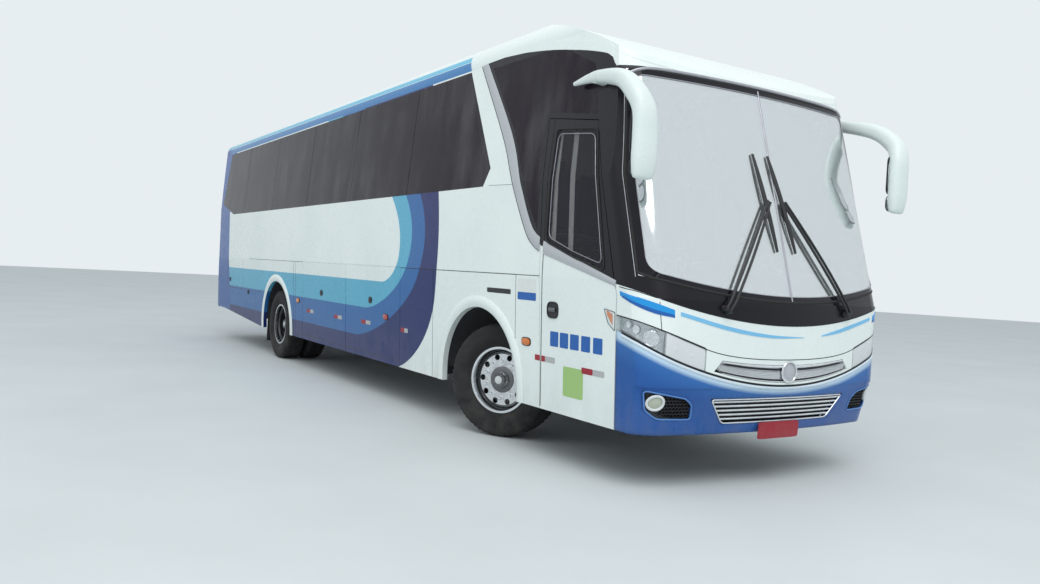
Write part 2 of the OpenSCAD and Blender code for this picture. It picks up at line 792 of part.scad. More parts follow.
module dashboard() {
    color("dimgray") {
        difference() {
            hull() {
                box([fx + 1700, -470, cab_z], [nose - 420, 1120, cab_z + 60]);
                box([fx + 1760, -470, 1560], [nose - 200, 1120, 1600]);
            }
            ahead_cut(60);
        }
        bar(column[0], column[1], 30);
    }
}

module ahead_cut(t) {
    difference() {
        box([fx + 1000, -w2, cab_z - 100], [nose + 100, w2, 2200]);
        front_solid(t);
    }
}

module steering_wheel() {
    d = column[1] - column[0];
    color("black") translate(column[1]) rotate([0, atan2(d[0], d[2]), 0]) translate([0, 0, 10]) {
        rotate_extrude() translate([225, 0]) circle(r = 15);
        for (a = [0, 120, 240]) rotate([0, 0, a]) translate([20, -12, -6]) cube([200, 24, 12]);
        translate([0, 0, -9.7]) cylinder(r = 60, h = 30);
    }
}

module seat(w) {
    box([-225, -w / 2, 330], [225, w / 2, 450]);
    translate([-215, -w / 2, 430]) rotate([0, -12, 0]) cube([90, w, 720]);
    for (x = [-160, 100]) box([x, -60, 0], [x + 50, 60, 340]);
}

module driver_seat() {
    color("darkslateblue") translate([fx + 1050, 600, cab_z]) seat(500);
}

module seats(s) {
    color("darkslateblue") for (i = [0 : rows - 1])
        translate([fx + 250 - i * row_pitch, s * 735, floor_z]) seat(880);
}

// Low unit over the saloon: length, half width at its foot and at its top, height above the crown
ac = [2400, 830, 700, 62];

module air_conditioner() {
    color("gainsboro") difference() {
        hull() {
            box([rx, -ac[1], roof_z - 60], [rx + ac[0], ac[1], roof_z - 50]);
            box([rx + 150, -ac[2], roof_z + ac[3] - 30], [rx + ac[0] - 200, ac[2], roof_z + ac[3]]);
        }
        along_x(rx - 100, rx + ac[0] + 100) body2d(-fit);
    }
}

module engine() {
    color("gray") box([tail + 480, -370, rail_z0 + 60], [tail + 1560, 370, 1320]);
}

module front_axle() {
    color("dimgray") {
        difference() {
            union() {
                along_x(fx - 45, fx + 45) polygon([[-kingpin_y, 460], [-600, 460], [-520, 430], [520, 430],
                    [600, 460], [kingpin_y, 460], [kingpin_y, 560], [520, 560], [-520, 560], [-kingpin_y, 560]]);
                for (s = [-1, 1]) translate([fx, s * kingpin_y, 460]) cylinder(r = 55, h = 100);
            }
            for (s = [-1, 1]) translate([fx, s * kingpin_y, 400]) cylinder(r = 28.4, h = 200);
        }
        for (s = [-1, 1]) side(s) box([fx - 100, rail_gap / 2 - 90, 560], [fx + 100, rail_gap / 2 + 90, 575]);
    }
}

module rear_axle() {
    color("dimgray") {
        translate([rx, 0, ax_z]) rotate([90, 0, 0]) cylinder(r = 70, h = 1160, center = true);
        translate([rx - 170, 0, ax_z]) rotate([0, 90, 0]) cylinder(r = 200, h = 340);
        for (s = [-1, 1]) side(s) {
            translate([rx, 560, ax_z]) rotate([-90, 0, 0]) cylinder(r = hub_bore, h = rear_y - 615);
            box([rx - 480, rail_gap / 2 - 50, 400], [rx + 480, rail_gap / 2 + 50, 460]);
        }
    }
}

module air_springs() {
    color("black") for (s = [-1, 1]) side(s) {
        translate([fx, rail_gap / 2, 575]) cylinder(r = 95, h = rail_z0 - 575);
        for (x = [-380, 380]) translate([rx + x, rail_gap / 2, 460]) cylinder(r = 110, h = rail_z0 - 460);
    }
}

// Steered corner: origin on the kingpin at hub height, +Y outboard
module corner(s) {
    translate([fx, s * kingpin_y, ax_z]) rotate([0, 0, steer_rest]) side(s) children();
}

wheel_y = front_y - kingpin_y;

module knuckle(s) {
    color("dimgray") corner(s) {
        for (z = [-88, 51]) difference() {
            union() {
                translate([0, 0, z]) cylinder(r = 55, h = 37);
                box([-55, 0, z], [55, 95, z + 37]);
            }
        }
        translate([0, 0, -88]) cylinder(r = 28, h = 176);
        box([-55, 62, -88], [55, 95, 88]);
        translate([0, 90, 0]) rotate([-90, 0, 0]) cylinder(r = hub_bore, h = wheel_y - 40);
    }
    color("dimgray") translate([fx, s * kingpin_y, ax_z]) rotate([0, 0, steer_rest]) {
        box([-260, -25, -88], [-20, 25, -62]);
        if (s < 0) translate([-230, 0, -130]) cylinder(r = 14, h = 50);
    }
}

arm_end = [fx - 230 * cos(steer_rest), -230 * sin(steer_rest)];

module tie_rod() {
    color("silver") {
        for (s = [-1, 1]) translate([arm_end[0], arm_end[1] + s * kingpin_y, ax_z - 128]) difference() {
            cylinder(r = 26, h = 34);
            translate([0, 0, -1]) cylinder(r = 14.4, h = 40);
        }
        translate([arm_end[0], arm_end[1] - kingpin_y + 22, ax_z - 111]) rotate([-90, 0, 0])
            cylinder(r = 12, h = 2 * kingpin_y - 44);
    }
}

// Half section of the tyre, radius then width, and of the rim
module tyre2d() {
    polygon([[bead_r + 0.3, -rim_w / 2 + 0.3], [bead_r + 14, -rim_w / 2 + 0.3],
        [bead_r + 60, -tyre_w / 2 + 14], [bead_r + 115, -tyre_w / 2],
        [tyre_r - 45, -tyre_w / 2 + 8], [tyre_r - 12, -tyre_w / 2 + 22], [tyre_r, -tyre_w / 2 + 45],
        [tyre_r, tyre_w / 2 - 45], [tyre_r - 12, tyre_w / 2 - 22], [tyre_r - 45, tyre_w / 2 - 8],
        [bead_r + 115, tyre_w / 2], [bead_r + 60, tyre_w / 2 - 14],
        [bead_r + 14, rim_w / 2 - 0.3], [bead_r + 0.3, rim_w / 2 - 0.3],
        [bead_r + 0.3, rim_w / 2 - 26], [bead_r + 60, tyre_w / 2 - 40], [tyre_r - 45, tyre_w / 2 - 40],
        [tyre_r - 45, 40 - tyre_w / 2], [bead_r + 60, 40 - tyre_w / 2], [bead_r + 0.3, 26 - rim_w / 2]]);
}

module tyre() { rotate([90, 0, 0]) rotate_extrude($fn = 96) tyre2d(); }

// Rim with its disc d outboard of the tyre's centre plane (+Y)
module rim(d) {
    difference() {
        rotate([-90, 0, 0]) rotate_extrude($fn = 96) {
            polygon([[bead_r, -rim_w / 2], [bead_r + 12, -rim_w / 2], [bead_r + 12, -rim_w / 2 - 9],
                [bead_r - 8, -rim_w / 2 - 9], [bead_r - 14, -60], [bead_r - 30, -40], [bead_r - 30, 40],
                [bead_r - 14, 60], [bead_r - 8, rim_w / 2 + 9], [bead_r + 12, rim_w / 2 + 9],
                [bead_r + 12, rim_w / 2], [bead_r, rim_w / 2], [bead_r, 62], [bead_r - 18, 44],
                [bead_r - 18, -44], [bead_r, -62]]);
            polygon([[bead_r - 28, d < 0 ? -60 : 20], [bead_r - 60, d - 14], [95, d - 14], [95, d],
                [bead_r - 55, d], [bead_r - 22, d < 0 ? -40 : 40]]);
        }
        for (a = [0 : 36 : 350]) rotate([0, a, 0]) translate([bead_r - 80, -200, 0]) rotate([-90, 0, 0])
            cylinder(r = 27, h = 400, $fn = 24);
    }
}

module hub(y0, y1, cap) {
    rotate([-90, 0, 0]) difference() {
        union() {
            translate([0, 0, y0]) cylinder(r = 98, h = y1 - y0);
            translate([0, 0, y1]) cylinder(r1 = 84, r2 = 66, h = cap);
        }
        translate([0, 0, y0 - 1]) cylinder(r = hub_bore + 0.4, h = y1 - y0 + 1 - 12);
    }
}

module rim_front(s) {
    color("silver") corner(s) {
        translate([0, wheel_y, 0]) rim(62);
        hub(100, wheel_y + 66, 60);
    }
}

module tyre_front(s) { color("black") corner(s) translate([0, wheel_y, 0]) tyre(); }

module rims_rear(s) {
    color("silver") translate([rx, 0, ax_z]) side(s) {
        translate([0, rear_y, 0]) rim(-70);
        translate([0, rear_y - twin_pitch, 0]) mirror([0, 1, 0]) rim(-70);
        hub(600, rear_y - 40, 90);
    }
}

module tyres_rear(s) {
    color("black") translate([rx, 0, ax_z]) side(s)
        for (y = [rear_y, rear_y - twin_pitch]) translate([0, y, 0]) tyre();
}

module flap(s, f) {
    color("royalblue") side(s) {
        difference() {
            along_x(fx + f[1] + door_gap, fx + f[0] - door_gap) wall2d(0, wall_t);
            box([fx + f[1], 0, belt_z - door_gap], [fx + f[0], w2 + 50, eaves_z + 50]);
        }
        translate([fx + f[1] + door_gap, w2 - hinge_r, belt_z]) rotate([0, 90, 0])
            cylinder(r = hinge_r, h = f[0] - f[1] - 2 * door_gap);
        box([fx + f[1] + door_gap, w2 - hinge_r - 3, belt_z - door_gap - 4],
            [fx + f[0] - door_gap, w2 - hinge_r + 2, belt_z]);
    }
}

module entrance_door() {
    color("white") {
        side(-1) difference() {
            intersection() {
                along_x(fx + 800, nose) wall2d(0, wall_t);
                along_y(0, w2 + 50) door2d(door_gap, 10);
            }
            intersection() {
                along_x(fx + 800, nose) wall2d(-1, pane_t);
                along_y(0, w2 + 50) door_pane2d(0);
            }
            along_y(0, w2 + 50) door_window2d();
        }
        for (z = arm_z) {
            translate([eye[0], eye[1], z - 30]) cylinder(r = 12, h = 56);
            box([eye[0] - 20, -wall_y(z, wall_t) - 3, z - 30], [eye[0] + 20, eye[1] + 12, z - 16]);
        }
    }
}

module door_glass() {
    color("lightblue") side(-1) intersection() {
        along_x(fx + 800, nose) wall2d(0, pane_t);
        along_y(0, w2 + 50) door_pane2d(fit);
    }
}

module door_arm() {
    color("dimgray") {
        translate([col[0], col[1], step_z[0] + 0.4]) cylinder(r = col_r, h = door_top[1] - step_z[0] - 330);
        for (z = arm_z) difference() {
            union() {
                translate([0, 0, z - 14]) linear_extrude(28) polygon([[col[0], col[1] - 18], [eye[0], eye[1] - 18],
                    [eye[0], eye[1] + 18], [col[0], col[1] + 18]]);
                translate([eye[0], eye[1], z - 14]) cylinder(r = 25, h = 28);
            }
            translate([eye[0], eye[1], z - 40]) cylinder(r = 12.4, h = 80);
        }
    }
}

front_frame();
rear_frame();
luggage_bay();
saloon_floor();
entrance_steps();
color("white") side_wall(-1);  // side_wall_right
color("white") side_wall(1);  // side_wall_left
roof();
front_panel();
windscreen_surround();
front_bumper();
rear_wall();
wheel_housings();
windscreen();
color("lightblue") side_glass(-1);  // side_glass_right
color("lightblue") side_glass(1);  // side_glass_left
rear_glass();
headlamps();
fog_lamps();
tail_lamps();
upper_grille();
lower_grille();
side_mirror(-1);  // mirror_right
side_mirror(1);  // mirror_left
wipers();
dashboard();
driver_seat();
seats(-1);  // seats_right
seats(1);  // seats_left
air_conditioner();
engine();
front_axle();
rear_axle();
air_springs();
steering_wheel();
door_arm();
entrance_door();
door_glass();
flap(-1, flaps[0]);  // flap_right_front
flap(-1, flaps[1]);  // flap_right_rear
flap(1, flaps[0]);  // flap_left_front
flap(1, flaps[1]);  // flap_left_rear
engine_door();
roof_hatch(0);  // roof_hatch_front
roof_hatch(1);  // roof_hatch_rear
knuckle(-1);  // knuckle_right
knuckle(1);  // knuckle_left
tie_rod();
rim_front(-1);  // rim_front_right
rim_front(1);  // rim_front_left
rims_rear(-1);  // rims_rear_right
rims_rear(1);  // rims_rear_left
tyre_front(-1);  // tyre_front_right
tyre_front(1);  // tyre_front_left
tyres_rear(-1);  // tyres_rear_right
tyres_rear(1);  // tyres_rear_left
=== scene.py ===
import math
import bmesh
import bpy
import numpy as np
from mathutils import Matrix, Vector


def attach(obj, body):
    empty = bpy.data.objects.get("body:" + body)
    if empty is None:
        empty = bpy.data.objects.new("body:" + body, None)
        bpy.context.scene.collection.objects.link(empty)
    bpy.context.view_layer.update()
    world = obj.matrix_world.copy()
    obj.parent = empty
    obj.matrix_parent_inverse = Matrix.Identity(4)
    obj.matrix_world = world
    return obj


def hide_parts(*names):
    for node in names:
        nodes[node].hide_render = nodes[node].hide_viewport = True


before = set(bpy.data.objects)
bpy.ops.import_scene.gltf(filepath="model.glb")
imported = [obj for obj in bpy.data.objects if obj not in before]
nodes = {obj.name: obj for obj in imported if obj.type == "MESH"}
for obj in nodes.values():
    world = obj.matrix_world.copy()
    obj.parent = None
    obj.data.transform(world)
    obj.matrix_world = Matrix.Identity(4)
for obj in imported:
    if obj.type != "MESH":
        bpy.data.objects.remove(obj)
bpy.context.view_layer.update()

# Sizes that the CAD part uses, in metres
body = dict(w2=1.3, skirtZ=0.4, beltZ=1.47, sillZ=2.24, eavesZ=3.38, tuck=0.05, lean=0.1,
            coveR=0.23, coveY=0.97, coveZ=3.3957, frontAxle=3.836, rearAxle=-2.364, nose=6.256, tail=-6.294,
            noseR=6.5, cornerR=0.3, tailR=8.0, tailCornerR=0.2, chinZ=0.74, chinTilt=15, screenZ=1.36,
            rake=16, axleZ=0.51, steer=28)
# Measured positions along the bus count from fitX; the door side is the right one, at minus y
fitX = 4.056
sides = ((-1, "Right"), (1, "Left"))


def wallY(z):
    # half width at height z: tucked in below the belt, leaning in above the sill, then the cove's arc
    z = np.asarray(z, float)
    low = body["tuck"] * np.clip(body["beltZ"] - z, 0, None) / (body["beltZ"] - body["skirtZ"])
    high = body["lean"] * np.clip(z - body["sillZ"], 0, None) / (body["eavesZ"] - body["sillZ"])
    up = np.clip(z - body["coveZ"], 0, body["coveR"])
    cove = body["coveY"] + np.sqrt(body["coveR"] ** 2 - up ** 2)
    return np.where(z > body["coveZ"], np.minimum(cove, body["w2"] - low - high), body["w2"] - low - high)


def sideSurface(side):
    def place(u, v, off):
        # u runs along the bus from the fit's zero, v is the height, off stands out of the wall
        u, v = np.broadcast_arrays(np.asarray(u, float), v)
        return np.stack([u + fitX, side * (wallY(v) + off), v], -1)
    return place


def bowPlan(s, bigR, rc, w):
    # the bowed plan walked by arc length s from the middle: big arc, corner arc, straight side
    turn = math.asin((w - rc) / (bigR - rc))
    s1 = bigR * turn
    s2 = s1 + rc * (math.pi / 2 - turn)
    a = np.where(s < s1, s / bigR, np.clip(turn + (s - s1) / rc, 0, math.pi / 2))
    cx = -bigR + (bigR - rc) * math.cos(turn)
    x = np.where(s < s1, bigR * (np.cos(a) - 1), cx + rc * np.cos(a)) - np.clip(s - s2, 0, None)
    y = np.where(s < s1, bigR * np.sin(a), w - rc + rc * np.sin(a))
    return x, y, a


def arcAt(y, bigR, rc, w):
    # arc length of the plan at the half width y
    y = np.abs(np.asarray(y, float))
    turn = math.asin((w - rc) / (bigR - rc))
    corner = np.arcsin(np.clip((y - (w - rc)) / rc, -1, 1))
    return np.where(y < bigR * math.sin(turn), bigR * np.arcsin(y / bigR), bigR * turn + rc * (corner - turn))


def frontSurface(s, z, off):
    # the front's plan shifted back by the chin's slope below its fold and by the screen's rake above its own
    s, z = np.broadcast_arrays(np.asarray(s, float), np.asarray(z, float))
    side, s = np.sign(s + 1e-12), np.abs(s)
    x, y, a = bowPlan(s, body["noseR"], body["cornerR"], body["w2"])
    x, y = x + off * np.cos(a), y + off * np.sin(a)
    chin, rake = math.radians(body["chinTilt"]), math.radians(body["rake"])
    x = np.where(z < body["chinZ"], x / math.cos(chin) - 0.002 - (body["chinZ"] - z) * math.tan(chin), x)
    x = np.where(z > body["screenZ"], x / math.cos(rake) - 0.002 - (z - body["screenZ"]) * math.tan(rake), x)
    return np.stack([body["nose"] + x, side * np.minimum(y, wallY(z) + off), z], -1)


def faceSurface(y, z, off):
    # the front by width instead of arc length
    y = np.asarray(y, float)
    return frontSurface(np.sign(y) * arcAt(y, body["noseR"], body["cornerR"], body["w2"]), z, off)


def rearSurface(y, z, off):
    # the tail by width: the same kind of bowed plan, upright and facing back
    y, z = np.broadcast_arrays(np.asarray(y, float), np.asarray(z, float))
    s = arcAt(y, body["tailR"], body["tailCornerR"], body["w2"])
    x, flat, a = bowPlan(s, body["tailR"], body["tailCornerR"], body["w2"])
    x, flat = x + off * np.cos(a), flat + off * np.sin(a)
    return np.stack([body["tail"] - x, np.sign(y + 1e-12) * np.minimum(flat, wallY(z) + off), z], -1)


def flatSurface(x, slope=0.0, z0=0.0, facing=1):
    # a plane across the bus at x, leaning back with the height below z0; off stands out of its face
    return lambda y, z, off: np.stack(np.broadcast_arrays(x + facing * off + slope * (z - z0), y, z), -1)


def tiltedBow(z0, radius, tilt):
    # height of a shell's edge by the front's arc length: z0 in the middle, rising with the bow's sagitta
    # and with the distance back
    def height(s):
        p = frontSurface(s, 1.0, 0.0)
        rise = radius - np.sqrt(radius ** 2 - p[..., 1] ** 2)
        a = math.radians(tilt)
        return z0 + rise / math.cos(a) + (body["nose"] - p[..., 0]) * math.tan(a)
    return height


bumperEdge = tiltedBow(0.748, 3.6, 15)
maskEdge = tiltedBow(1.196, 5.0, 8.5)


def lampEdge(s):
    # upper edge of the headlamp by arc length: rises with the width and with the distance back
    edge = dict(z=1.018, fromY=0.8, slope=0.315, tilt=6.6)
    p = frontSurface(s, 1.0, 0.0)
    back = (body["nose"] - p[..., 0]) * math.tan(math.radians(edge["tilt"]))
    return edge["z"] + edge["slope"] * (np.abs(p[..., 1]) - edge["fromY"]) + back


def evenLine(line, count):
    # the same line sampled at equal steps of its length
    line = np.asarray(line, float)
    run = np.concatenate([[0], np.cumsum(np.linalg.norm(np.diff(line, axis=0), axis=1))])
    at = np.linspace(0, run[-1], count)
    return np.stack([np.interp(at, run, line[:, k]) for k in range(line.shape[1])], -1)


def smoothLine(points, count):
    # a Catmull-Rom line through the points, sampled evenly along its length
    p = np.asarray(points, float)
    if len(p) == 2:
        return p[0] + (p[1] - p[0]) * np.linspace(0, 1, count)[:, None]
    q = np.vstack([2 * p[0] - p[1], p, 2 * p[-1] - p[-2]])
    t = np.linspace(0, 1, 24, endpoint=False)[:, None]
    parts = [0.5 * (2 * b + (c - a) * t + (2 * a - 5 * b + 4 * c - d) * t ** 2
                    + (3 * b - a - 3 * c + d) * t ** 3) for a, b, c, d in zip(q, q[1:], q[2:], q[3:])]
    return evenLine(np.vstack([*parts, p[-1:]]), count)


def roundLine(points, corner, count):
    # a closed polygon whose corners are rounded by quadratic arcs that start a corner length before each
    p = np.asarray(points, float)
    t = np.linspace(0, 1, 10)[:, None]
    line = []
    for k in range(len(p)):
        before, after = p[k - 1] - p[k], p[(k + 1) % len(p)] - p[k]
        a = p[k] + before * min(0.5, corner / np.linalg.norm(before))
        b = p[k] + after * min(0.5, corner / np.linalg.norm(after))
        line.append((1 - t) ** 2 * a + 2 * t * (1 - t) * p[k] + t ** 2 * b)
    line = np.vstack(line)
    return evenLine(np.vstack([line, line[:1]]), count + 1)[:-1]


def gridFaces(n, m, closeN=False, closeM=False, start=0):
    i, j = np.meshgrid(np.arange(n if closeN else n - 1), np.arange(m if closeM else m - 1), indexing="ij")
    i2, j2 = (i + 1) % n, (j + 1) % m
    return start + np.stack([i * m + j, i2 * m + j, i2 * m + j2, i * m + j2], -1).reshape(-1, 4)


def makePiece(name, parts, look, bodyName="body", sharp=35, replaces=()):
    # joins (points, faces) parts into one mesh, turns each outwards by its signed volume, and lets it ride
    points, faces, at = [], [], 0
    for p, f in parts:
        p, f = np.asarray(p, float).reshape(-1, 3), np.asarray(f)
        c = p - p.mean(0)
        volume = sum(np.einsum("ij,ij->", c[f[:, 0]], np.cross(c[f[:, k]], c[f[:, k + 1]]))
                     for k in range(1, f.shape[1] - 1))
        points.append(p)
        faces += ((f[:, ::-1] if volume < 0 else f) + at).tolist()
        at += len(p)
    mesh = bpy.data.meshes.new(name)
    mesh.from_pydata(np.vstack(points).tolist(), [], faces)
    work = bmesh.new()
    work.from_mesh(mesh)
    bmesh.ops.remove_doubles(work, verts=work.verts, dist=1e-6)
    work.to_mesh(mesh)
    work.free()
    mesh.validate()
    mesh.shade_smooth()
    mesh.set_sharp_from_angle(angle=math.radians(sharp))
    mesh.materials.append(looks[look])
    piece = bpy.data.objects.new(name, mesh)
    bpy.context.scene.collection.objects.link(piece)
    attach(piece, bodyName)
    if replaces:
        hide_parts(*replaces)
    return piece


def shell(outer, inner):
    # a closed skin between two grids of the same size
    n, m = outer.shape[:2]
    k = n * m
    g = gridFaces(n, m)
    i, j = np.arange(n - 1), np.arange(m - 1)
    rim = [np.stack([i * m, i * m + k, (i + 1) * m + k, (i + 1) * m], -1),
           np.stack([i * m + m - 1, (i + 1) * m + m - 1, (i + 1) * m + m - 1 + k, i * m + m - 1 + k], -1),
           np.stack([j, j + 1, j + 1 + k, j + k], -1),
           np.stack([(n - 1) * m + j, (n - 1) * m + j + k, (n - 1) * m + j + 1 + k, (n - 1) * m + j + 1], -1)]
    return np.vstack([outer.reshape(-1, 3), inner.reshape(-1, 3)]), np.vstack([g, g[:, ::-1] + k, *rim])


def band(surface, lineA, lineB, low, high, n=24, m=4, crown=0.0, smooth=True):
    # a strip on a surface between two lines, from off=low to off=high, crowned across its width
    a, b = ((smoothLine if smooth else evenLine)(line, n) for line in (lineA, lineB))
    t = np.linspace(0, 1, m)[None, :, None]
    uv = a[:, None] * (1 - t) + b[:, None] * t
    rise = high + crown * (1 - (2 * t[..., 0] - 1) ** 2) + 0 * uv[..., 0]
    return shell(surface(uv[..., 0], uv[..., 1], rise), surface(uv[..., 0], uv[..., 1], low + 0 * rise))


def stripe(surface, line, width, low, high, n=24, m=3, crown=0.0, smooth=True):
    # a strip of even width along a line on the surface
    a = smoothLine(line, n) if smooth else evenLine(line, n)
    t = np.gradient(a, axis=0)
    t /= np.linalg.norm(t, axis=1)[:, None]
    across = np.stack([-t[:, 1], t[:, 0]], -1) * width / 2
    return band(surface, a - across, a + across, low, high, n, m, crown, False)


def boss(surface, centre, size, low, high, dome=0.0, square=2.0, count=32, rings=5):
    # a rounded patch on a surface: superellipse outline, edge at high, middle lifted by dome
    a = np.linspace(0, 2 * math.pi, count, endpoint=False)[:, None]
    ca, sa = (np.sign(f) * np.abs(f) ** (2 / square) for f in (np.cos(a), np.sin(a)))
    t = np.concatenate([np.sin(np.linspace(0, math.pi / 2, rings)), [1.0, 0.0]])[None, :]
    off = np.concatenate([high + dome * (1 - t[0, :rings] ** 2), [low, low]])[None, :] + 0 * a
    p = surface(centre[0] + size[0] * t * ca, centre[1] + size[1] * t * sa, off)
    return p.reshape(-1, 3), gridFaces(count, rings + 2, True, False)


def revolve(profile, centre, axis, count=48, closed=False, start=0.0):
    # a profile of (radius, height) carried round an axis
    axis = np.asarray(axis, float) / np.linalg.norm(axis)
    u = np.cross(axis, [0, 0, 1] if abs(axis[2]) < 0.9 else [1, 0, 0])
    u /= np.linalg.norm(u)
    v = np.cross(axis, u)
    a = start + np.linspace(0, 2 * math.pi, count, endpoint=False)[:, None, None]
    r, h = np.asarray(profile, float)[:, 0][None, :, None], np.asarray(profile, float)[:, 1][None, :, None]
    p = np.asarray(centre) + r * (np.cos(a) * u + np.sin(a) * v) + h * axis
    return p.reshape(-1, 3), gridFaces(count, len(profile), True, closed)


def tube(path, radius, sides=12, up=None, square=2.0, loop=False):
    # a round or squarish section carried along a path; its ends are closed, or the path runs round
    path = np.asarray(path, float)
    tangent = np.roll(path, -1, 0) - np.roll(path, 1, 0) if loop else np.gradient(path, axis=0)
    tangent = tangent / np.linalg.norm(tangent, axis=1)[:, None]
    if up is None:
        up = (0, 0, 1.0) if abs(tangent[:, 2]).max() < 0.9 else (0.31, 0.95, 0.0)
    u = np.cross(tangent, up)
    u /= np.linalg.norm(u, axis=1)[:, None]
    v = np.cross(tangent, u)
    a = np.linspace(0, 2 * math.pi, sides, endpoint=False)
    ca, sa = (np.sign(f) * np.abs(f) ** (2 / square) for f in (np.cos(a), np.sin(a)))
    r = np.asarray(radius, float)
    r = np.broadcast_to(r[:, None] if r.ndim == 1 and len(r) == len(path) else r, (len(path), 2))
    p = (path[:, None] + r[:, :1, None] * ca[None, :, None] * u[:, None]
         + r[:, 1:, None] * sa[None, :, None] * v[:, None])
    if loop:
        return p.reshape(-1, 3), gridFaces(len(path), sides, True, True)
    p = np.concatenate([np.repeat(path[:1, None], sides, 1), p, np.repeat(path[-1:, None], sides, 1)])
    return p.reshape(-1, 3), gridFaces(len(path) + 2, sides, False, True)


def bead(surface, points, radius, corner=0.03, count=160, off=0.0, sides=10):
    # a rubber bead along a rounded outline on a surface
    line = roundLine(points, corner, count)
    return tube(surface(line[:, 0], line[:, 1], off + 0 * line[:, 0]), radius, sides, loop=True)


def ring(surface, centre, radius, thick, off, count=48):
    # a round bead about a point of a surface
    a = np.linspace(0, 2 * math.pi, count, endpoint=False)
    path = surface(centre[0] + radius * np.cos(a), centre[1] + radius * np.sin(a), np.full(count, off))
    return tube(path, thick, 10, loop=True)


def corners(centre, half):
    # the four corners of a rectangle on a surface
    signs = ((-1, -1), (1, -1), (1, 1), (-1, 1))
    return [(centre[0] + i * half[0], centre[1] + j * half[1]) for i, j in signs]


def honeycomb(surface, centres, radius, low, high, stretch=(1.0, 1.0), wall=0.72):
    # hexagonal rings round the centres, each with a top, an inner and an outer face
    c = np.asarray(centres, float)
    a = np.linspace(0, 2 * math.pi, 6, endpoint=False)
    edge = np.stack([np.sin(a) * stretch[0], np.cos(a) * stretch[1]], -1) * radius
    steps = np.array([[1, low], [1, high], [wall, high], [wall, low]])
    uv = c[:, None, None] + edge[None, :, None] * steps[None, None, :, :1]
    p = surface(uv[..., 0], uv[..., 1], np.broadcast_to(steps[None, None, :, 1], uv.shape[:3]))
    every = gridFaces(6, 4, True, True)[None] + 24 * np.arange(len(c))[:, None, None]
    return p.reshape(-1, 3), every.reshape(-1, 4)


class Net:
    # short calls for the nodes of one material
    def __init__(self, name):
        self.material = bpy.data.materials.new(name)
        self.material.use_nodes = True
        self.tree = self.material.node_tree
        self.shader = self.tree.nodes["Principled BSDF"]
        self.coords = self.add("ShaderNodeTexCoord").outputs["Object"]

    def add(self, kind, **values):
        node = self.tree.nodes.new(kind)
        for key, value in values.items():
            setattr(node, key, value)
        return node

    def put(self, socket, value):
        if isinstance(value, bpy.types.NodeSocket):
            self.tree.links.new(value, socket)
        else:
            socket.default_value = value

    def math(self, operation, *args, clamp=False):
        node = self.add("ShaderNodeMath", operation=operation, use_clamp=clamp)
        for socket, value in zip(node.inputs, args):
            self.put(socket, value)
        return node.outputs[0]

    def vector(self, operation, *args, out=0):
        node = self.add("ShaderNodeVectorMath", operation=operation)
        for socket, value in zip(node.inputs, args):
            self.put(socket, value)
        return node.outputs[out]

    def axes(self):
        node = self.add("ShaderNodeSeparateXYZ")
        self.put(node.inputs[0], self.coords)
        return node.outputs[:3]

    def noise(self, scale, detail=3.0, rough=0.5, stretch=(1, 1, 1)):
        where = self.add("ShaderNodeMapping")
        where.inputs["Scale"].default_value = stretch
        self.put(where.inputs["Vector"], self.coords)
        node = self.add("ShaderNodeTexNoise")
        self.put(node.inputs["Vector"], where.outputs[0])
        for key, value in (("Scale", scale), ("Detail", detail), ("Roughness", rough)):
            node.inputs[key].default_value = value
        return node.outputs["Fac"]

    def mix(self, share, a, b):
        node = self.add("ShaderNodeMix", data_type="RGBA")
        for socket, value in ((node.inputs[0], share), (node.inputs[6], a), (node.inputs[7], b)):
            self.put(socket, (*value, 1) if isinstance(value, tuple) and len(value) == 3 else value)
        return node.outputs[2]

    def span(self, value, low, high, to0=0.0, to1=1.0):
        node = self.add("ShaderNodeMapRange", clamp=True)
        for socket, v in zip(node.inputs, (value, low, high, to0, to1)):
            self.put(socket, v)
        return node.outputs[0]

    def path(self, value, points):
        # a line through (value, result) points: the first result plus a ramp for each stretch
        total = points[0][1]
        for (v0, r0), (v1, r1) in zip(points, points[1:]):
            total = self.math("ADD", self.span(value, v0, v1, 0.0, r1 - r0), total)
        return total

    def product(self, *values):
        total = values[0]
        for value in values[1:]:
            total = self.math("MULTIPLY", total, value)
        return total

    def within(self, value, low, high, soft=0.001):
        return self.product(self.span(value, low - soft, low + soft),
                            self.span(value, high + soft, high - soft))

    def bump(self, height, strength, distance):
        node = self.add("ShaderNodeBump")
        node.inputs["Strength"].default_value = strength
        node.inputs["Distance"].default_value = distance
        self.put(node.inputs["Height"], height)
        self.put(self.shader.inputs["Normal"], node.outputs[0])

    def finish(self, color, roughness, **plain):
        self.put(self.shader.inputs["Base Color"],
                 (*color, 1) if isinstance(color, tuple) and len(color) == 3 else color)
        self.put(self.shader.inputs["Roughness"], roughness)
        for key, value in plain.items():
            self.shader.inputs[key.replace("_", " ")].default_value = value
        return self.material


paints = dict(white=(0.80, 0.86, 0.84), royal=(0.018, 0.095, 0.34), navy=(0.006, 0.018, 0.125),
              mid=(0.018, 0.13, 0.37), cyan=(0.10, 0.42, 0.60), black=(0.006, 0.005, 0.009),
              dust=(0.30, 0.27, 0.24), silver=(0.46, 0.48, 0.50), azure=(0.02, 0.30, 0.72),
              sky=(0.20, 0.52, 0.80), seam=(0.012, 0.014, 0.018))


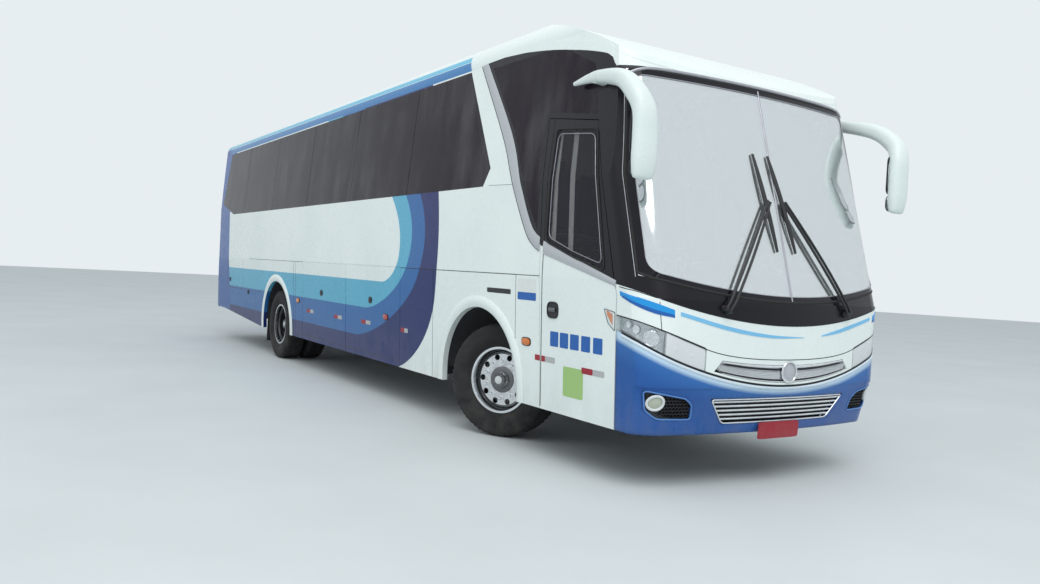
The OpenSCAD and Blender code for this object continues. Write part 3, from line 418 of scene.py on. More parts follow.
def paintLook(net, color, dustTop=0.9, gloss=0.30):
    # gloss paint: a faint darker drift, road dust that thins out upwards, a slight ripple
    z = net.axes()[2]
    drift = net.add("ShaderNodeMix", data_type="RGBA", blend_type="MULTIPLY")
    for socket, value in zip((drift.inputs[0], drift.inputs[6], drift.inputs[7]),
                             (net.span(net.noise(1.3, 4), 0.35, 0.7), color, (0.94, 0.955, 0.96, 1))):
        net.put(socket, value)
    color = drift.outputs[2]
    dust = net.math("MULTIPLY", net.span(z, 0.35, dustTop, 0.26, 0.0),
                    net.span(net.noise(6, 6, 0.62, (1, 1, 0.5)), 0.35, 0.75))
    color = net.mix(dust, color, paints["dust"])
    rough = net.math("ADD", net.span(net.noise(9, 4), 0.3, 0.7, gloss - 0.06, gloss + 0.02),
                     net.math("MULTIPLY", dust, 0.9))
    net.bump(net.noise(30, 2), 0.05, 0.002)
    return net.finish(color, rough, Specular_IOR_Level=0.25, Coat_Weight=0.08, Coat_Roughness=0.05)


def cornerField(net, x, z, edge, peakZ, bend, floorZ, radius):
    # signed distance to a field left of a bowed edge and above a floor line, joined by a round corner
    far = net.math("SUBTRACT", edge, net.math("MULTIPLY", bend,
                                              net.math("POWER", net.math("SUBTRACT", z, peakZ), 2.0)))
    a = net.math("SUBTRACT", x, net.math("SUBTRACT", far, radius))
    b = net.math("SUBTRACT", floorZ + radius, z)
    a0, b0 = net.math("MAXIMUM", a, 0.0), net.math("MAXIMUM", b, 0.0)
    length = net.math("SQRT", net.math("ADD", net.math("MULTIPLY", a0, a0), net.math("MULTIPLY", b0, b0)))
    return net.math("SUBTRACT", net.math("ADD", length, net.math("MINIMUM", net.math("MAXIMUM", a, b), 0.0)),
                    radius)


# edge along the bus, height of its furthest point, bend, lower line, corner radius
livery = [("navy", -1.09 + fitX, 1.7, 0.18, 0.36, 0.85), ("mid", -1.40 + fitX, 1.80, 0.82, 0.64, 0.75),
          ("cyan", -1.71 + fitX, 1.80, 1.0, 0.98, 0.55), ("white", -2.0 + fitX, 1.72, 1.0, 1.30, 0.28)]
# height and position of the black mask's rear edge on the side, under the silver strip
maskLine = [(1.44, 1.733), (1.71, 0.74), (1.76, 0.64), (1.84, 0.555), (2.02, 0.435), (2.30, 0.27),
            (2.68, 0.055), (3.39, -0.515)]
# position and height of the mask's rounded upper edge
maskTop = [(-0.552, 3.384), (-0.453, 3.396), (-0.163, 3.399), (0.202, 3.374), (0.504, 3.336), (0.789, 3.288),
           (1.093, 3.226), (1.269, 3.182), (1.373, 3.151), (1.44, 3.112), (1.475, 3.06), (1.50, 3.035)]
# seams of the fixed side panels: upright ones by position and height range, level ones by height and range
uprightSeams = [(0.38, 0.3, 1.47), (-1.172, 0.3, 1.47), (-5.545, 0.3, 1.47), (-5.63, 0.3, 1.47),
                (-7.34, 0.56, 0.95), (-7.63, 0.56, 0.95), (-8.39, 0.56, 1.47), (-9.42, 0.5, 1.47)]
levelSeams = [(1.467, -1.952, 0.765), (1.47, -8.0, -5.228), (0.463, -5.54, -1.98), (0.949, -9.42, -7.34)]


def seamColor(net, x, z, color, half=0.0032):
    # dark lines along the seams of the side panels, half is half their width
    for at, low, high in uprightSeams:
        on = net.product(net.math("COMPARE", x, at + fitX, half), net.within(z, low, high))
        color = net.mix(on, color, paints["seam"])
    for at, back, front in levelSeams:
        on = net.product(net.math("COMPARE", z, at, half), net.within(x, back + fitX, front + fitX))
        color = net.mix(on, color, paints["seam"])
    return color


def maskedColor(net, x, z, color, soft=0.002):
    # the black mask ahead of its swept edge
    edge = net.math("SUBTRACT", x, net.path(z, [(v, r + fitX) for v, r in maskLine]))
    top = net.math("SUBTRACT", net.path(x, [(u + fitX, v) for u, v in maskTop]), z)
    inside = net.product(net.span(edge, -soft, soft), net.span(z, 1.438, 1.442), net.span(top, -soft, soft))
    return net.mix(inside, color, paints["black"])


def bodyPaint():
    # white body with nested blue fields whose fronts bow forward and whose lower edges run to the tail,
    # and a royal tail behind a line that leans back by its slope
    tail = dict(x=-9.231, slope=0.09, soft=0.0015)
    net = Net("bodyPaint")
    x, z = net.axes()[::2]
    color = (*paints["white"], 1)
    for name, edge, peakZ, bend, floorZ, radius in livery:
        distance = cornerField(net, x, z, edge, peakZ, bend, floorZ, radius)
        color = net.mix(net.span(distance, tail["soft"], -tail["soft"]), color, paints[name])
    line = net.math("ADD", x, net.math("MULTIPLY", z, tail["slope"]))
    rear = net.span(line, fitX + tail["x"] + tail["soft"], fitX + tail["x"] - tail["soft"])
    color = net.mix(rear, color, paints["royal"])
    return paintLook(net, maskedColor(net, x, z, seamColor(net, x, z, color)))


def roofPaint():
    # white roof with a blue and a cyan line in the cove above the windows, cut off at a slant in front,
    # royal at the tail, and the mask's rounded top at the front
    lines = dict(blue=(3.33, 3.47, (0.05, 0.21, 0.48)), cyan=(3.475, 3.53, (0.14, 0.50, 0.70)))
    ends = dict(slant=0.5, front=(0.935, 0.915), tail=(-9.955, -9.96), top=(3.475, 3.47))
    net = Net("roofPaint")
    x, z = net.axes()[::2]
    color = (*paints["white"], 1)
    slanted = net.math("ADD", x, net.math("MULTIPLY", z, ends["slant"]))
    end = net.span(slanted, *(fitX + at for at in ends["front"]))
    for low, high, tint in lines.values():
        color = net.mix(net.product(net.within(z, low, high), end), color, tint)
    rear = net.span(x, *(fitX + at for at in ends["tail"]))
    color = net.mix(net.product(rear, net.span(z, *ends["top"])), color, paints["royal"])
    return paintLook(net, maskedColor(net, x, z, color))


def surroundPaint():
    # black round the screen, white above the mask's rounded upper edge
    net = Net("surroundPaint")
    x, z = net.axes()[::2]
    top = net.math("SUBTRACT", z, net.path(x, [(u + fitX, v) for u, v in maskTop]))
    return paintLook(net, net.mix(net.span(top, -0.002, 0.002), (*paints["black"], 1), paints["white"]), 0.5)


def doorPaint():
    # white up to the swept line, black mask above it
    net = Net("doorPaint")
    x, z = net.axes()[::2]
    return paintLook(net, maskedColor(net, x, z, (*paints["white"], 1)))


def bumperPaint():
    # royal blue, paler with the closeness to the upper edge as a painted reflection of the sky on its top
    # roll;
    # the edge's height is the bumper line's parabola plus its rise with the distance back; the chin's crease
    # is softened by a rounded normal
    edge = dict(z=0.748, curve=0.1438, tilt=15)
    # the paler blue and the pale band below the upper edge are painted reflection and painted highlight
    tint = dict(paintedSheen=(0.06, 0.24, 0.58), paintedSheenDown=(0.20, 0.06), paintedSheenShare=0.35, highlightLip=(0.50, 0.66, 0.80),
                highlightLipDown=(0.075, 0.04), creaseR=0.05)
    net = Net("bumperPaint")
    x, y, z = net.axes()
    bow = net.math("ADD", net.math("MULTIPLY", net.math("POWER", y, 2.0), edge["curve"]), edge["z"])
    slope = net.math("MULTIPLY", net.math("SUBTRACT", body["nose"], x), math.tan(math.radians(edge["tilt"])))
    down = net.math("SUBTRACT", net.math("ADD", bow, slope), z)
    # painted reflection: a paler blue fading in from 20 cm to 6 cm below the upper edge
    paintedSheen = net.span(down, *tint["paintedSheenDown"], 0.0, tint["paintedSheenShare"])
    color = net.mix(paintedSheen, (*paints["royal"], 1), tint["paintedSheen"])
    # painted highlight: a pale band from 4 cm below the upper edge upwards, fading out by 7.5 cm
    color = net.mix(net.span(down, *tint["highlightLipDown"]), color, tint["highlightLip"])
    material = paintLook(net, color, 0.75, 0.26)
    crease = net.add("ShaderNodeBevel", samples=6)
    crease.inputs["Radius"].default_value = tint["creaseR"]
    bumpNode = net.shader.inputs["Normal"].links[0].from_node
    net.put(bumpNode.inputs["Normal"], crease.outputs[0])
    return material


def plainPaint(name, color, dustTop=0.9, gloss=0.30):
    return paintLook(Net(name), (*color, 1), dustTop, gloss)


def glassLook(name, color, alpha, metal=0.0, rough=0.04, ior=1.5, coat=0.3, litFolds=0.0):
    # tinted pane: faint smears in the roughness, see-through by its alpha; the last argument is how much
    # paler the painted upright streaks are that stand for light caught on the pleats of blinds behind it
    net = Net(name)
    smear = net.span(net.noise(2.2, 5, 0.6, (1, 1, 3)), 0.3, 0.75, rough, rough + 0.05)
    if litFolds:
        # painted light: paler upright streaks for the lit pleats of blinds behind the pane
        share = net.product(net.span(net.noise(2.6, 5, 0.6, (1.6, 1, 0.35)), 0.42, 0.72),
                            net.span(net.noise(0.7, 3, 0.5, (1, 1, 2)), 0.35, 0.6))
        color = net.mix(share, (*color, 1), tuple(c + litFolds for c in color))
    return net.finish(color, smear, Alpha=alpha, Metallic=metal, IOR=ior, Coat_Weight=coat)


def metalLook(name, color, rough, scratch=0.05, metal=1.0):
    # metal with fine cloudy marks and a light brushed bump
    net = Net(name)
    cloud = net.noise(14, 5)
    tone = net.mix(net.span(cloud, 0.35, 0.75, 0.0, 0.35), (*color, 1), tuple(0.55 * c for c in color))
    net.bump(net.noise(180, 3, 0.6), scratch, 0.001)
    return net.finish(tone, net.span(cloud, 0.3, 0.7, rough, rough + 0.12), Metallic=metal)


def rimLook(name, centre, axis):
    # polished alloy: bright flange and disc, a near-black ring of painted shade in the recessed drop centre
    # between them, brake dust towards the middle; the distance from the axle is the length of the cross
    # product with its direction
    wellR = (0.252, 0.276)
    net = Net(name)
    arm = net.vector("CROSS_PRODUCT", net.vector("SUBTRACT", net.coords, centre), axis)
    away = net.vector("LENGTH", arm, out=1)
    shadedWell = net.within(away, *wellR, 0.003)
    grime = net.product(net.span(net.noise(24, 5), 0.35, 0.7), net.span(away, 0.26, 0.10, 0.12, 0.55))
    # painted shade: the recessed drop centre is near-black where it lies in shade; brake dust greys the
    # middle
    tone = net.mix(grime, net.mix(shadedWell, (0.74, 0.76, 0.78, 1), (0.06, 0.065, 0.07)), (0.20, 0.19, 0.18))
    net.bump(net.noise(140, 3, 0.6), 0.04, 0.001)
    return net.finish(tone, net.span(grime, 0.0, 0.5, 0.12, 0.4), Metallic=0.9)


def plasticLook(name, color, rough, grain=220, strength=0.25, dusty=0.0):
    # moulded plastic or rubber with a fine grain, greyed by dust towards the ground
    net = Net(name)
    z = net.axes()[2]
    patch = net.noise(5, 5)
    tone = net.mix(net.span(patch, 0.3, 0.75, 0.0, 0.5), (*color, 1),
                   tuple(min(1, 1.6 * c + 0.004) for c in color))
    if dusty:
        dust = net.math("MULTIPLY", net.span(z, 0.0, 1.3, dusty, 0.0), net.span(net.noise(9, 6), 0.35, 0.7))
        tone = net.mix(dust, tone, paints["dust"])
    net.bump(net.noise(grain, 3), strength, 0.001)
    return net.finish(tone, net.span(patch, 0.3, 0.7, rough, min(1.0, rough + 0.15)))


def lensLook(name, color):
    # ribbed lamp lens
    net = Net(name)
    wave = net.add("ShaderNodeTexWave", bands_direction="Z")
    wave.inputs["Scale"].default_value = 40
    net.put(wave.inputs["Vector"], net.coords)
    net.bump(wave.outputs["Fac"], 0.35, 0.002)
    tone = net.mix(wave.outputs["Fac"], (*color, 1), tuple(0.6 * c for c in color))
    return net.finish(tone, 0.12, Coat_Weight=0.5)


def fabricLook():
    # woven seat cloth: crossed fine waves for the weave, broad soft patches of wear
    net = Net("seatCloth")
    waves = []
    for direction in ("X", "Z"):
        wave = net.add("ShaderNodeTexWave", bands_direction=direction)
        wave.inputs["Scale"].default_value = 190
        net.put(wave.inputs["Vector"], net.coords)
        waves.append(wave.outputs["Fac"])
    weave = net.math("MULTIPLY", *waves)
    tone = net.mix(net.span(weave, 0.1, 0.8), (0.012, 0.025, 0.10, 1), (0.04, 0.07, 0.20))
    tone = net.mix(net.span(net.noise(4, 5), 0.4, 0.75, 0.0, 0.35), tone, (0.10, 0.13, 0.24))
    net.bump(weave, 0.5, 0.001)
    return net.finish(tone, 0.85, Sheen_Weight=0.4)


turn = math.radians(body["steer"])
frontSpin = (-math.sin(turn), math.cos(turn), 0.0)
# Every finish by the short name that the pieces ask for
looks = dict(
    body=bodyPaint(), roof=roofPaint(), door=doorPaint(), white=plainPaint("whitePaint", paints["white"]),
    mirror=plainPaint("mirrorPaint", (0.72, 0.79, 0.77), 0.5),
    royal=plainPaint("royalPaint", paints["royal"]), bumper=bumperPaint(),
    black=plainPaint("blackMask", paints["black"], 0.5, 0.2),
    silver=plainPaint("silverStrip", paints["silver"], 0.5, 0.3),
    # pale: painted highlight colour for the band under the bumper's upper edge, the sky reflected on its roll
    pale=plainPaint("paintedHighlightLip", (0.62, 0.72, 0.80), 0.5),
    azure=plainPaint("azureStripe", paints["azure"], 0.5), sky=plainPaint("skyStripe", paints["sky"], 0.5),
    seam=plainPaint("seamLine", paints["seam"], 0.5, 0.5),
    signBlue=plainPaint("signBlue", (0.02, 0.12, 0.42), 0.5),
    signWhite=plainPaint("signWhite", (0.75, 0.78, 0.76), 0.5),
    label=plainPaint("greenLabel", (0.36, 0.56, 0.20), 0.5, 0.5),
    plate=plainPaint("redPlate", (0.34, 0.02, 0.035), 0.5, 0.4),
    housing=plainPaint("lampHousing", (0.66, 0.69, 0.70), 0.5),
    handrail=plainPaint("handrail", (0.86, 0.87, 0.84), 0.4),
    # lighter blue than the bumper: painted highlight for the rounded edges of the fog recesses
    fogHighlightLip=plainPaint("fogHighlightLip", (0.10, 0.24, 0.55), 0.5),
    # the side glass's last value paints paler upright streaks: light caught on the pleats of blinds behind it
    sideGlass=glassLook("sideGlass", (0.010, 0.004, 0.012), 0.86, 0.0, 0.05, 1.26, 0.0, 0.055),
    doorGlass=glassLook("doorGlass", (0.03, 0.03, 0.04), 0.35, 0.0, 0.04, 1.3, 0.1), surround=surroundPaint(),
    screen=glassLook("screenGlass", (0.92, 0.96, 0.97), 0.66, 0.9, 0.03, 1.5, 0.1),
    lampGlass=glassLook("lampGlass", (0.78, 0.84, 0.86), 0.14, 0.0, 0.02, 1.5, 0.1),
    reflector=metalLook("lampReflector", (0.40, 0.44, 0.46), 0.2, 0.01),
    grey=plainPaint("reflectorGrey", (0.45, 0.46, 0.46), 0.5),
    mirrorGlass=metalLook("mirrorGlass", (0.70, 0.74, 0.76), 0.03, 0.0),
    chrome=metalLook("chrome", (0.82, 0.84, 0.86), 0.08, 0.01),
    rail=metalLook("greyRail", (0.42, 0.42, 0.46), 0.32, 0.03, 0.6),
    steel=metalLook("framePaint", (0.05, 0.053, 0.057), 0.5, 0.2, 0.2),
    hub=metalLook("darkSteel", (0.17, 0.175, 0.185), 0.34, 0.15, 0.8),
    cast=metalLook("castGrey", (0.22, 0.23, 0.24), 0.55, 0.3, 0.4),
    floor=plasticLook("floorCover", (0.16, 0.17, 0.18), 0.7, 160, 0.3),
    plastic=plasticLook("blackPlastic", (0.014, 0.014, 0.016), 0.45),
    rubber=plasticLook("rubber", (0.012, 0.012, 0.012), 0.7, 120, 0.2),
    cab=plasticLook("cabPlastic", (0.09, 0.095, 0.10), 0.6, 200, 0.3),
    tyre=plasticLook("tyreRubber", (0.009, 0.009, 0.010), 0.8, 140, 0.25, 0.10), cloth=fabricLook(),
    red=lensLook("redLens", (0.50, 0.010, 0.010)), amber=lensLook("amberLens", (0.80, 0.20, 0.01)),
    clear=lensLook("clearLens", (0.60, 0.64, 0.66)), fog=lensLook("fogLens", (0.55, 0.60, 0.48)))
print("materials ready")

# CAD nodes by the finish that they get
nodeLooks = dict(
    body=["side_wall_right", "side_wall_left", "flap_right_front", "flap_right_rear", "flap_left_front",
          "flap_left_rear"], roof=["roof"], door=["entrance_door"],
    white=["front_panel", "air_conditioner", "roof_hatch_front", "roof_hatch_rear"],
    mirror=["mirror_right", "mirror_left"], royal=["engine_door", "rear_wall"], bumper=["front_bumper"],
    surround=["windscreen_surround"], sideGlass=["side_glass_right", "side_glass_left", "rear_glass"],
    doorGlass=["door_glass"], screen=["windscreen"], lampGlass=["headlamps", "fog_lamps"], red=["tail_lamps"],
    chrome=["upper_grille", "lower_grille"],
    steel=["front_frame", "rear_frame", "luggage_bay", "front_axle", "rear_axle", "knuckle_right",
           "knuckle_left", "tie_rod", "door_arm", "wheel_housings"],
    cast=["engine"], floor=["saloon_floor", "entrance_steps"], plastic=["wipers", "steering_wheel"],
    cab=["dashboard"], cloth=["driver_seat", "seats_right", "seats_left"], rubber=["air_springs"],
    tyre=["tyre_front_right", "tyre_front_left", "tyres_rear_right", "tyres_rear_left"])
# Wheels: side, isFront, body, tyre node, distances of the tyres' centre planes from the wheel's origin
wheels = []
pivotY = 0.87
for side, word in sides:
    low = word.lower()
    wheels.append((side, True, "wheel_front_" + low, "tyre_front_" + low, (0.175,)))
    wheels.append((side, False, "wheels_rear_" + low, "tyres_rear_" + low, (1.095, 0.765)))
    frontCentre = (body["frontAxle"], side * pivotY, body["axleZ"])
    rearCentre = (body["rearAxle"], 0.0, body["axleZ"])
    frontAxis = (side * frontSpin[0], side * frontSpin[1], 0.0)
    for rimNode, centre, axis in (("rim_front_" + low, frontCentre, frontAxis),
                                  ("rims_rear_" + low, rearCentre, (0.0, 1.0, 0.0))):
        looks[rimNode] = rimLook(rimNode + "Alloy", centre, axis)
        nodeLooks[rimNode] = [rimNode]
for look, names in nodeLooks.items():
    for name in names:
        mesh = nodes[name].data
        mesh.materials.clear()
        mesh.materials.append(looks[look])
        mesh.polygons.foreach_set("material_index", np.zeros(len(mesh.polygons), np.int32))
print("nodes dressed")


def buildSideTrim():
    # silver strip beside the mask, crowned arch trims, dark seams beside the strip, white brow over the mask
    trim = dict(outer=[(-0.560, 3.385), (-0.007, 2.668), (0.189, 2.345), (0.366, 2.035), (0.516, 1.805),
                       (0.62, 1.715), (0.72, 1.665)],
                inner=[(-0.452, 3.393), (0.136, 2.676), (0.360, 2.262), (0.498, 2.005), (0.587, 1.871),
                       (0.65, 1.815), (0.72, 1.778)],
                doorOuter=[(0.776, 1.642), (1.25, 1.533), (1.722, 1.422)],
                doorInner=[(0.776, 1.750), (1.25, 1.605), (1.722, 1.466)], low=0.0005, high=0.003,
                crown=0.006)
    arch = dict(centre=-0.255, z=0.475, inner=0.681, outer=0.782, low=0.0025, high=0.0085, crown=0.012,
                wheelbase=6.2, foot=0.402)
    brow = dict(points=slice(2, 10), tall=0.075, low=-0.002, high=0.0035)
    seamLine = dict(pillar=[(-0.16, 2.245), (0.26, 2.231)], pillarWidth=0.003, stripWidth=0.005, shift=-0.006)
    a = np.linspace(0, math.pi, 61)
    for side, word in sides:
        wall = sideSurface(side)
        outer, inner = trim["outer"], trim["inner"]
        if side > 0:
            outer, inner = outer + trim["doorOuter"], inner + trim["doorInner"]
        else:
            parts = [band(wall, trim["doorOuter"], trim["doorInner"], trim["low"], trim["high"], 30, 9,
                          trim["crown"])]
            makePiece("silverStripDoor", parts, "silver", "door")
        parts = [band(wall, outer, inner, trim["low"], trim["high"], 90, 9, trim["crown"])]
        makePiece("silverStrip" + word, parts, "silver")
        parts = []
        for middle in (arch["centre"], arch["centre"] - arch["wheelbase"]):
            lines = []
            for r in (arch["inner"], arch["outer"]):
                curve = np.stack([middle + r * np.cos(a), arch["z"] + r * np.sin(a)], -1)
                lines.append(np.vstack([[middle + r, arch["foot"]], curve, [middle - r, arch["foot"]]]))
            parts.append(band(wall, *lines, arch["low"], arch["high"], 80, 9, arch["crown"], False))
        makePiece("archTrim" + word, parts, "white", sharp=50)
        besideStrip = np.array(trim["outer"]) + [seamLine["shift"], 0]
        seam = [stripe(wall, seamLine["pillar"], seamLine["pillarWidth"], 0.0, 0.0006),
                stripe(wall, besideStrip, seamLine["stripWidth"], 0.0005, 0.0035, 80)]
        makePiece("pillarSeam" + word, seam, "seam")
        foot = np.array(maskTop[brow["points"]])
        parts = [band(wall, foot, foot + [0, brow["tall"]], brow["low"], brow["high"], 60, 4)]
        makePiece("browEdge" + word, parts, "white")


def buildSideDetails():
    # lamps, reflectors, latches and blank signs, each on the body, door or flap that carries it
    edges = dict(door=0.775, flapFront=-1.955, flapSplit=-3.56, flapRear=-5.225)
    marks = dict(amber=[(0.556, 0.919), (-5.42, 0.919)], red=[(-2.334, 0.911)],
                 tape=[(-1.845, 0.805, 0.045), (-2.914, 0.810, 0.07), (-3.836, 0.802, 0.07),
                       (-4.9, 0.805, 0.07), (1.468, 0.776, 0.07)],
                 cutTape=[(0.727, 0.806, 0.038, "plate"), (0.811, 0.806, 0.026, "plate"),
                          (0.907, 0.806, 0.07, "grey")],
                 latch=[(-2.781, 1.075), (-4.45, 1.075), (-9.261, 1.088), (-8.056, 0.913)])
    marker = dict(base=(0.070, 0.036), lens=(0.062, 0.029), tapeHalf=0.023, latch=(0.052, 0.038),
                  latchPaddle=(0.036, 0.018))
    for side, word in sides:
        wall = sideSurface(side)

        def owner(x):
            if x > edges["door"] and side < 0:
                return "door"
            if x > edges["flapFront"] or x < edges["flapRear"]:
                return "body"
            return "flap_%s_%s" % (word.lower(), "front" if x > edges["flapSplit"] else "rear")

        for k, at in enumerate(marks["amber"] + marks["red"]):
            base = boss(wall, at, marker["base"], 0.0, 0.005, 0.002, 3)
            lens = boss(wall, at, marker["lens"], 0.004, 0.010, 0.006, 2.6)
            makePiece("markerBase%s%d" % (word, k), [base], "plastic", owner(at[0]))
            makePiece("markerLens%s%d" % (word, k), [lens], "red" if at in marks["red"] else "amber",
                      owner(at[0]))
        tapes = [(x - half, z, half, "plate") for x, z, half in marks["tape"]]
        tapes += [(x + half, z, half, "grey") for x, z, half in marks["tape"]]
        for k, (x, z, half, look) in enumerate(tapes + marks["cutTape"]):
            flat = boss(wall, (x, z), (half - 0.001, marker["tapeHalf"]), 0.0, 0.0012, 0.0003, 12)
            makePiece("reflector%s%d" % (word, k), [flat], look, owner(x))
        for k, at in enumerate(marks["latch"]):
            parts = [boss(wall, at, marker["latch"], 0.0, 0.004, 0.0, 2.8),
                     boss(wall, (at[0], at[1] + 0.006), marker["latchPaddle"], 0.003, 0.009, 0.003, 3.5)]
            makePiece("latch%s%d" % (word, k), parts, "plastic", owner(at[0]))
    wall = sideSurface(-1)
    signs = dict(signUpper=((0.5515, 1.3815), (0.1395, 0.0565), "signWhite", "body"),
                 signLower=((0.5515, 1.293), (0.1395, 0.032), "signBlue", "body"),
                 darkStrip=((0.10, 1.318), (0.20, 0.021), "plastic", "body"),
                 doorLabel=((1.22, 0.665), (0.13, 0.115), "label", "door"))
    for name, (at, half, look, rides) in signs.items():
        makePiece(name, [boss(wall, at, half, 0.0, 0.0012, 0.0, 16)], look, rides)
    squares = dict(x=(0.962, 1.095, 1.232, 1.375, 1.523), z=0.977, half=(0.056, 0.059))
    parts = [boss(wall, (x, squares["z"]), squares["half"], 0.0, 0.0012, 0.0, 14) for x in squares["x"]]
    makePiece("doorSquares", parts, "signBlue", "door")
    handle = dict(at=(0.937, 1.204), half=(0.076, 0.064), ring=(0.072, 0.060), lever=(0.89, 0.98),
                  leverZ=(1.222, 1.190))
    cup = boss(wall, handle["at"], handle["half"], 0.0, 0.004, -0.0035, 3.5, 40)
    makePiece("doorHandleCup", [cup], "plastic", "door")
    rubber = bead(wall, corners(handle["at"], handle["ring"]), 0.006, 0.05, 60, 0.004)
    makePiece("doorHandleRing", [rubber], "rubber", "door")
    top, foot = ([(x, z) for x in handle["lever"]] for z in handle["leverZ"])
    makePiece("doorHandleLever", [band(wall, top, foot, 0.006, 0.010, 12, 7, 0.006)], "hub", "door", 40)


def buildDoor():
    # rubber round the pane, pale line in it, edge rubber of the leaf, grab rails inside on short stubs
    door = dict(pane=[(0.83, 2.640), (1.37, 2.588), (1.58, 1.530), (1.195, 1.622), (0.806, 1.745)],
                line=[(0.862, 2.600), (1.345, 2.552), (1.545, 1.578), (1.195, 1.664), (0.842, 1.780)],
                edge=[(0.777, 2.74), (0.777, 1.74), (0.777, 0.42)], stubR=0.012,
                rails=[((1.055, 2.67), (1.10, 1.66)), ((0.842, 2.67), (0.859, 1.72))], railR=(0.030, 0.012),
                railIn=0.035)
    wall = sideSurface(-1)
    makePiece("doorGlassBead", [bead(wall, door["pane"], 0.008, 0.05, 220, 0.001)], "rubber", "door")
    makePiece("doorGlassLine", [bead(wall, door["line"], 0.003, 0.06, 200, 0.001)], "rail", "door")
    parts = []
    for top, foot in door["rails"]:
        line = smoothLine([top, foot], 16)
        parts.append(tube(wall(line[:, 0], line[:, 1], -door["railIn"] + 0 * line[:, 0]), door["railR"], 14,
                          (0, 1.0, 0)))
        for u, v in (top, foot):
            stub = np.linspace(-0.012, -door["railIn"], 4)
            parts.append(tube(wall(u + 0 * stub, v + 0 * stub, stub), door["stubR"], 12, (0, 0, 1.0)))
    makePiece("doorRails", parts, "handrail", "door")
    makePiece("doorEdgeRubber", [stripe(wall, door["edge"], 0.008, 0.0, 0.0015, 40)], "rubber", "door")


def mirrored(points):
    return [(-a, b) for a, b in points]


def buildFrontPanel():
    # stripes, seams, the pale band of painted highlight on the bumper and the dark gaps beside it; the outer
    # stripe is two-toned
    front = dict(outer=([(-1.5, 1.393), (-1.264, 1.339), (-1.087, 1.286)],
                        [(-1.504, 1.352), (-1.25, 1.262), (-1.084, 1.232)]),
                 longInner=([(-1.039, 1.274), (-0.611, 1.181), (-0.222, 1.129), (0.148, 1.112)],
                            [(-1.037, 1.247), (-0.609, 1.152), (-0.221, 1.107), (0.15, 1.109)]),
                 shortInner=([(0.36, 1.128), (0.611, 1.181), (1.039, 1.274)],
                             [(0.36, 1.120), (0.609, 1.152), (1.037, 1.247)]),
                 gap=[(0, 0.944), (0.4, 0.955), (0.7, 0.992), (0.95, 1.066), (1.16, 1.140)],
                 upright=[(-1.196, 1.336), (-1.185, 1.24), (-1.171, 1.138)], darkShare=0.38, reach=1.5,
                 lipWidth=0.026, lipCrown=0.007)
    decal = dict(low=0.0, high=0.0028, n=60, m=6)
    top, foot = (np.array(line) for line in front["outer"])
    middle = foot + front["darkShare"] * (top - foot)
    for name, a, b, look in (("Upper", top, middle, "azure"), ("Lower", middle, foot, "signBlue")):
        halves = [band(frontSurface, a * [s, 1], b * [s, 1], **decal) for s in (1, -1)]
        makePiece("frontStripe" + name, halves, look)
    inner = [band(frontSurface, *front[key], **decal) for key in ("longInner", "shortInner")]
    makePiece("frontStripeInner", inner, "sky")
    gap = mirrored(front["gap"])[:0:-1] + front["gap"]
    seams = [stripe(frontSurface, gap, 0.006, 0.0, 0.0008, 120)]
    for line in (front["upright"], mirrored(front["upright"])):
        seams.append(stripe(frontSurface, line, 0.005, 0.0, 0.0008, 20))
    s = np.linspace(-front["reach"], front["reach"], 180)
    for height, above in ((bumperEdge, 0.011), (maskEdge, 0.002)):
        edge = np.stack([s, height(s)], -1)
        lines = edge + [0, above], edge - [0, 0.004]
        seams.append(band(frontSurface, *lines, -0.001, 0.0015, 180, 4, 0, False))
    makePiece("frontSeams", seams, "seam")
    # painted highlight: a crowned pale band just under the bumper's upper edge, standing for the sky
    # reflected on its roll
    high = np.stack([s, bumperEdge(s) - 0.004], -1)
    low = high - [0, front["lipWidth"]]
    highlightLip = band(frontSurface, high, low, -0.001, 0.0, 180, 7, front["lipCrown"], False)
    makePiece("bumperHighlightLip", [highlightLip], "pale", sharp=60)


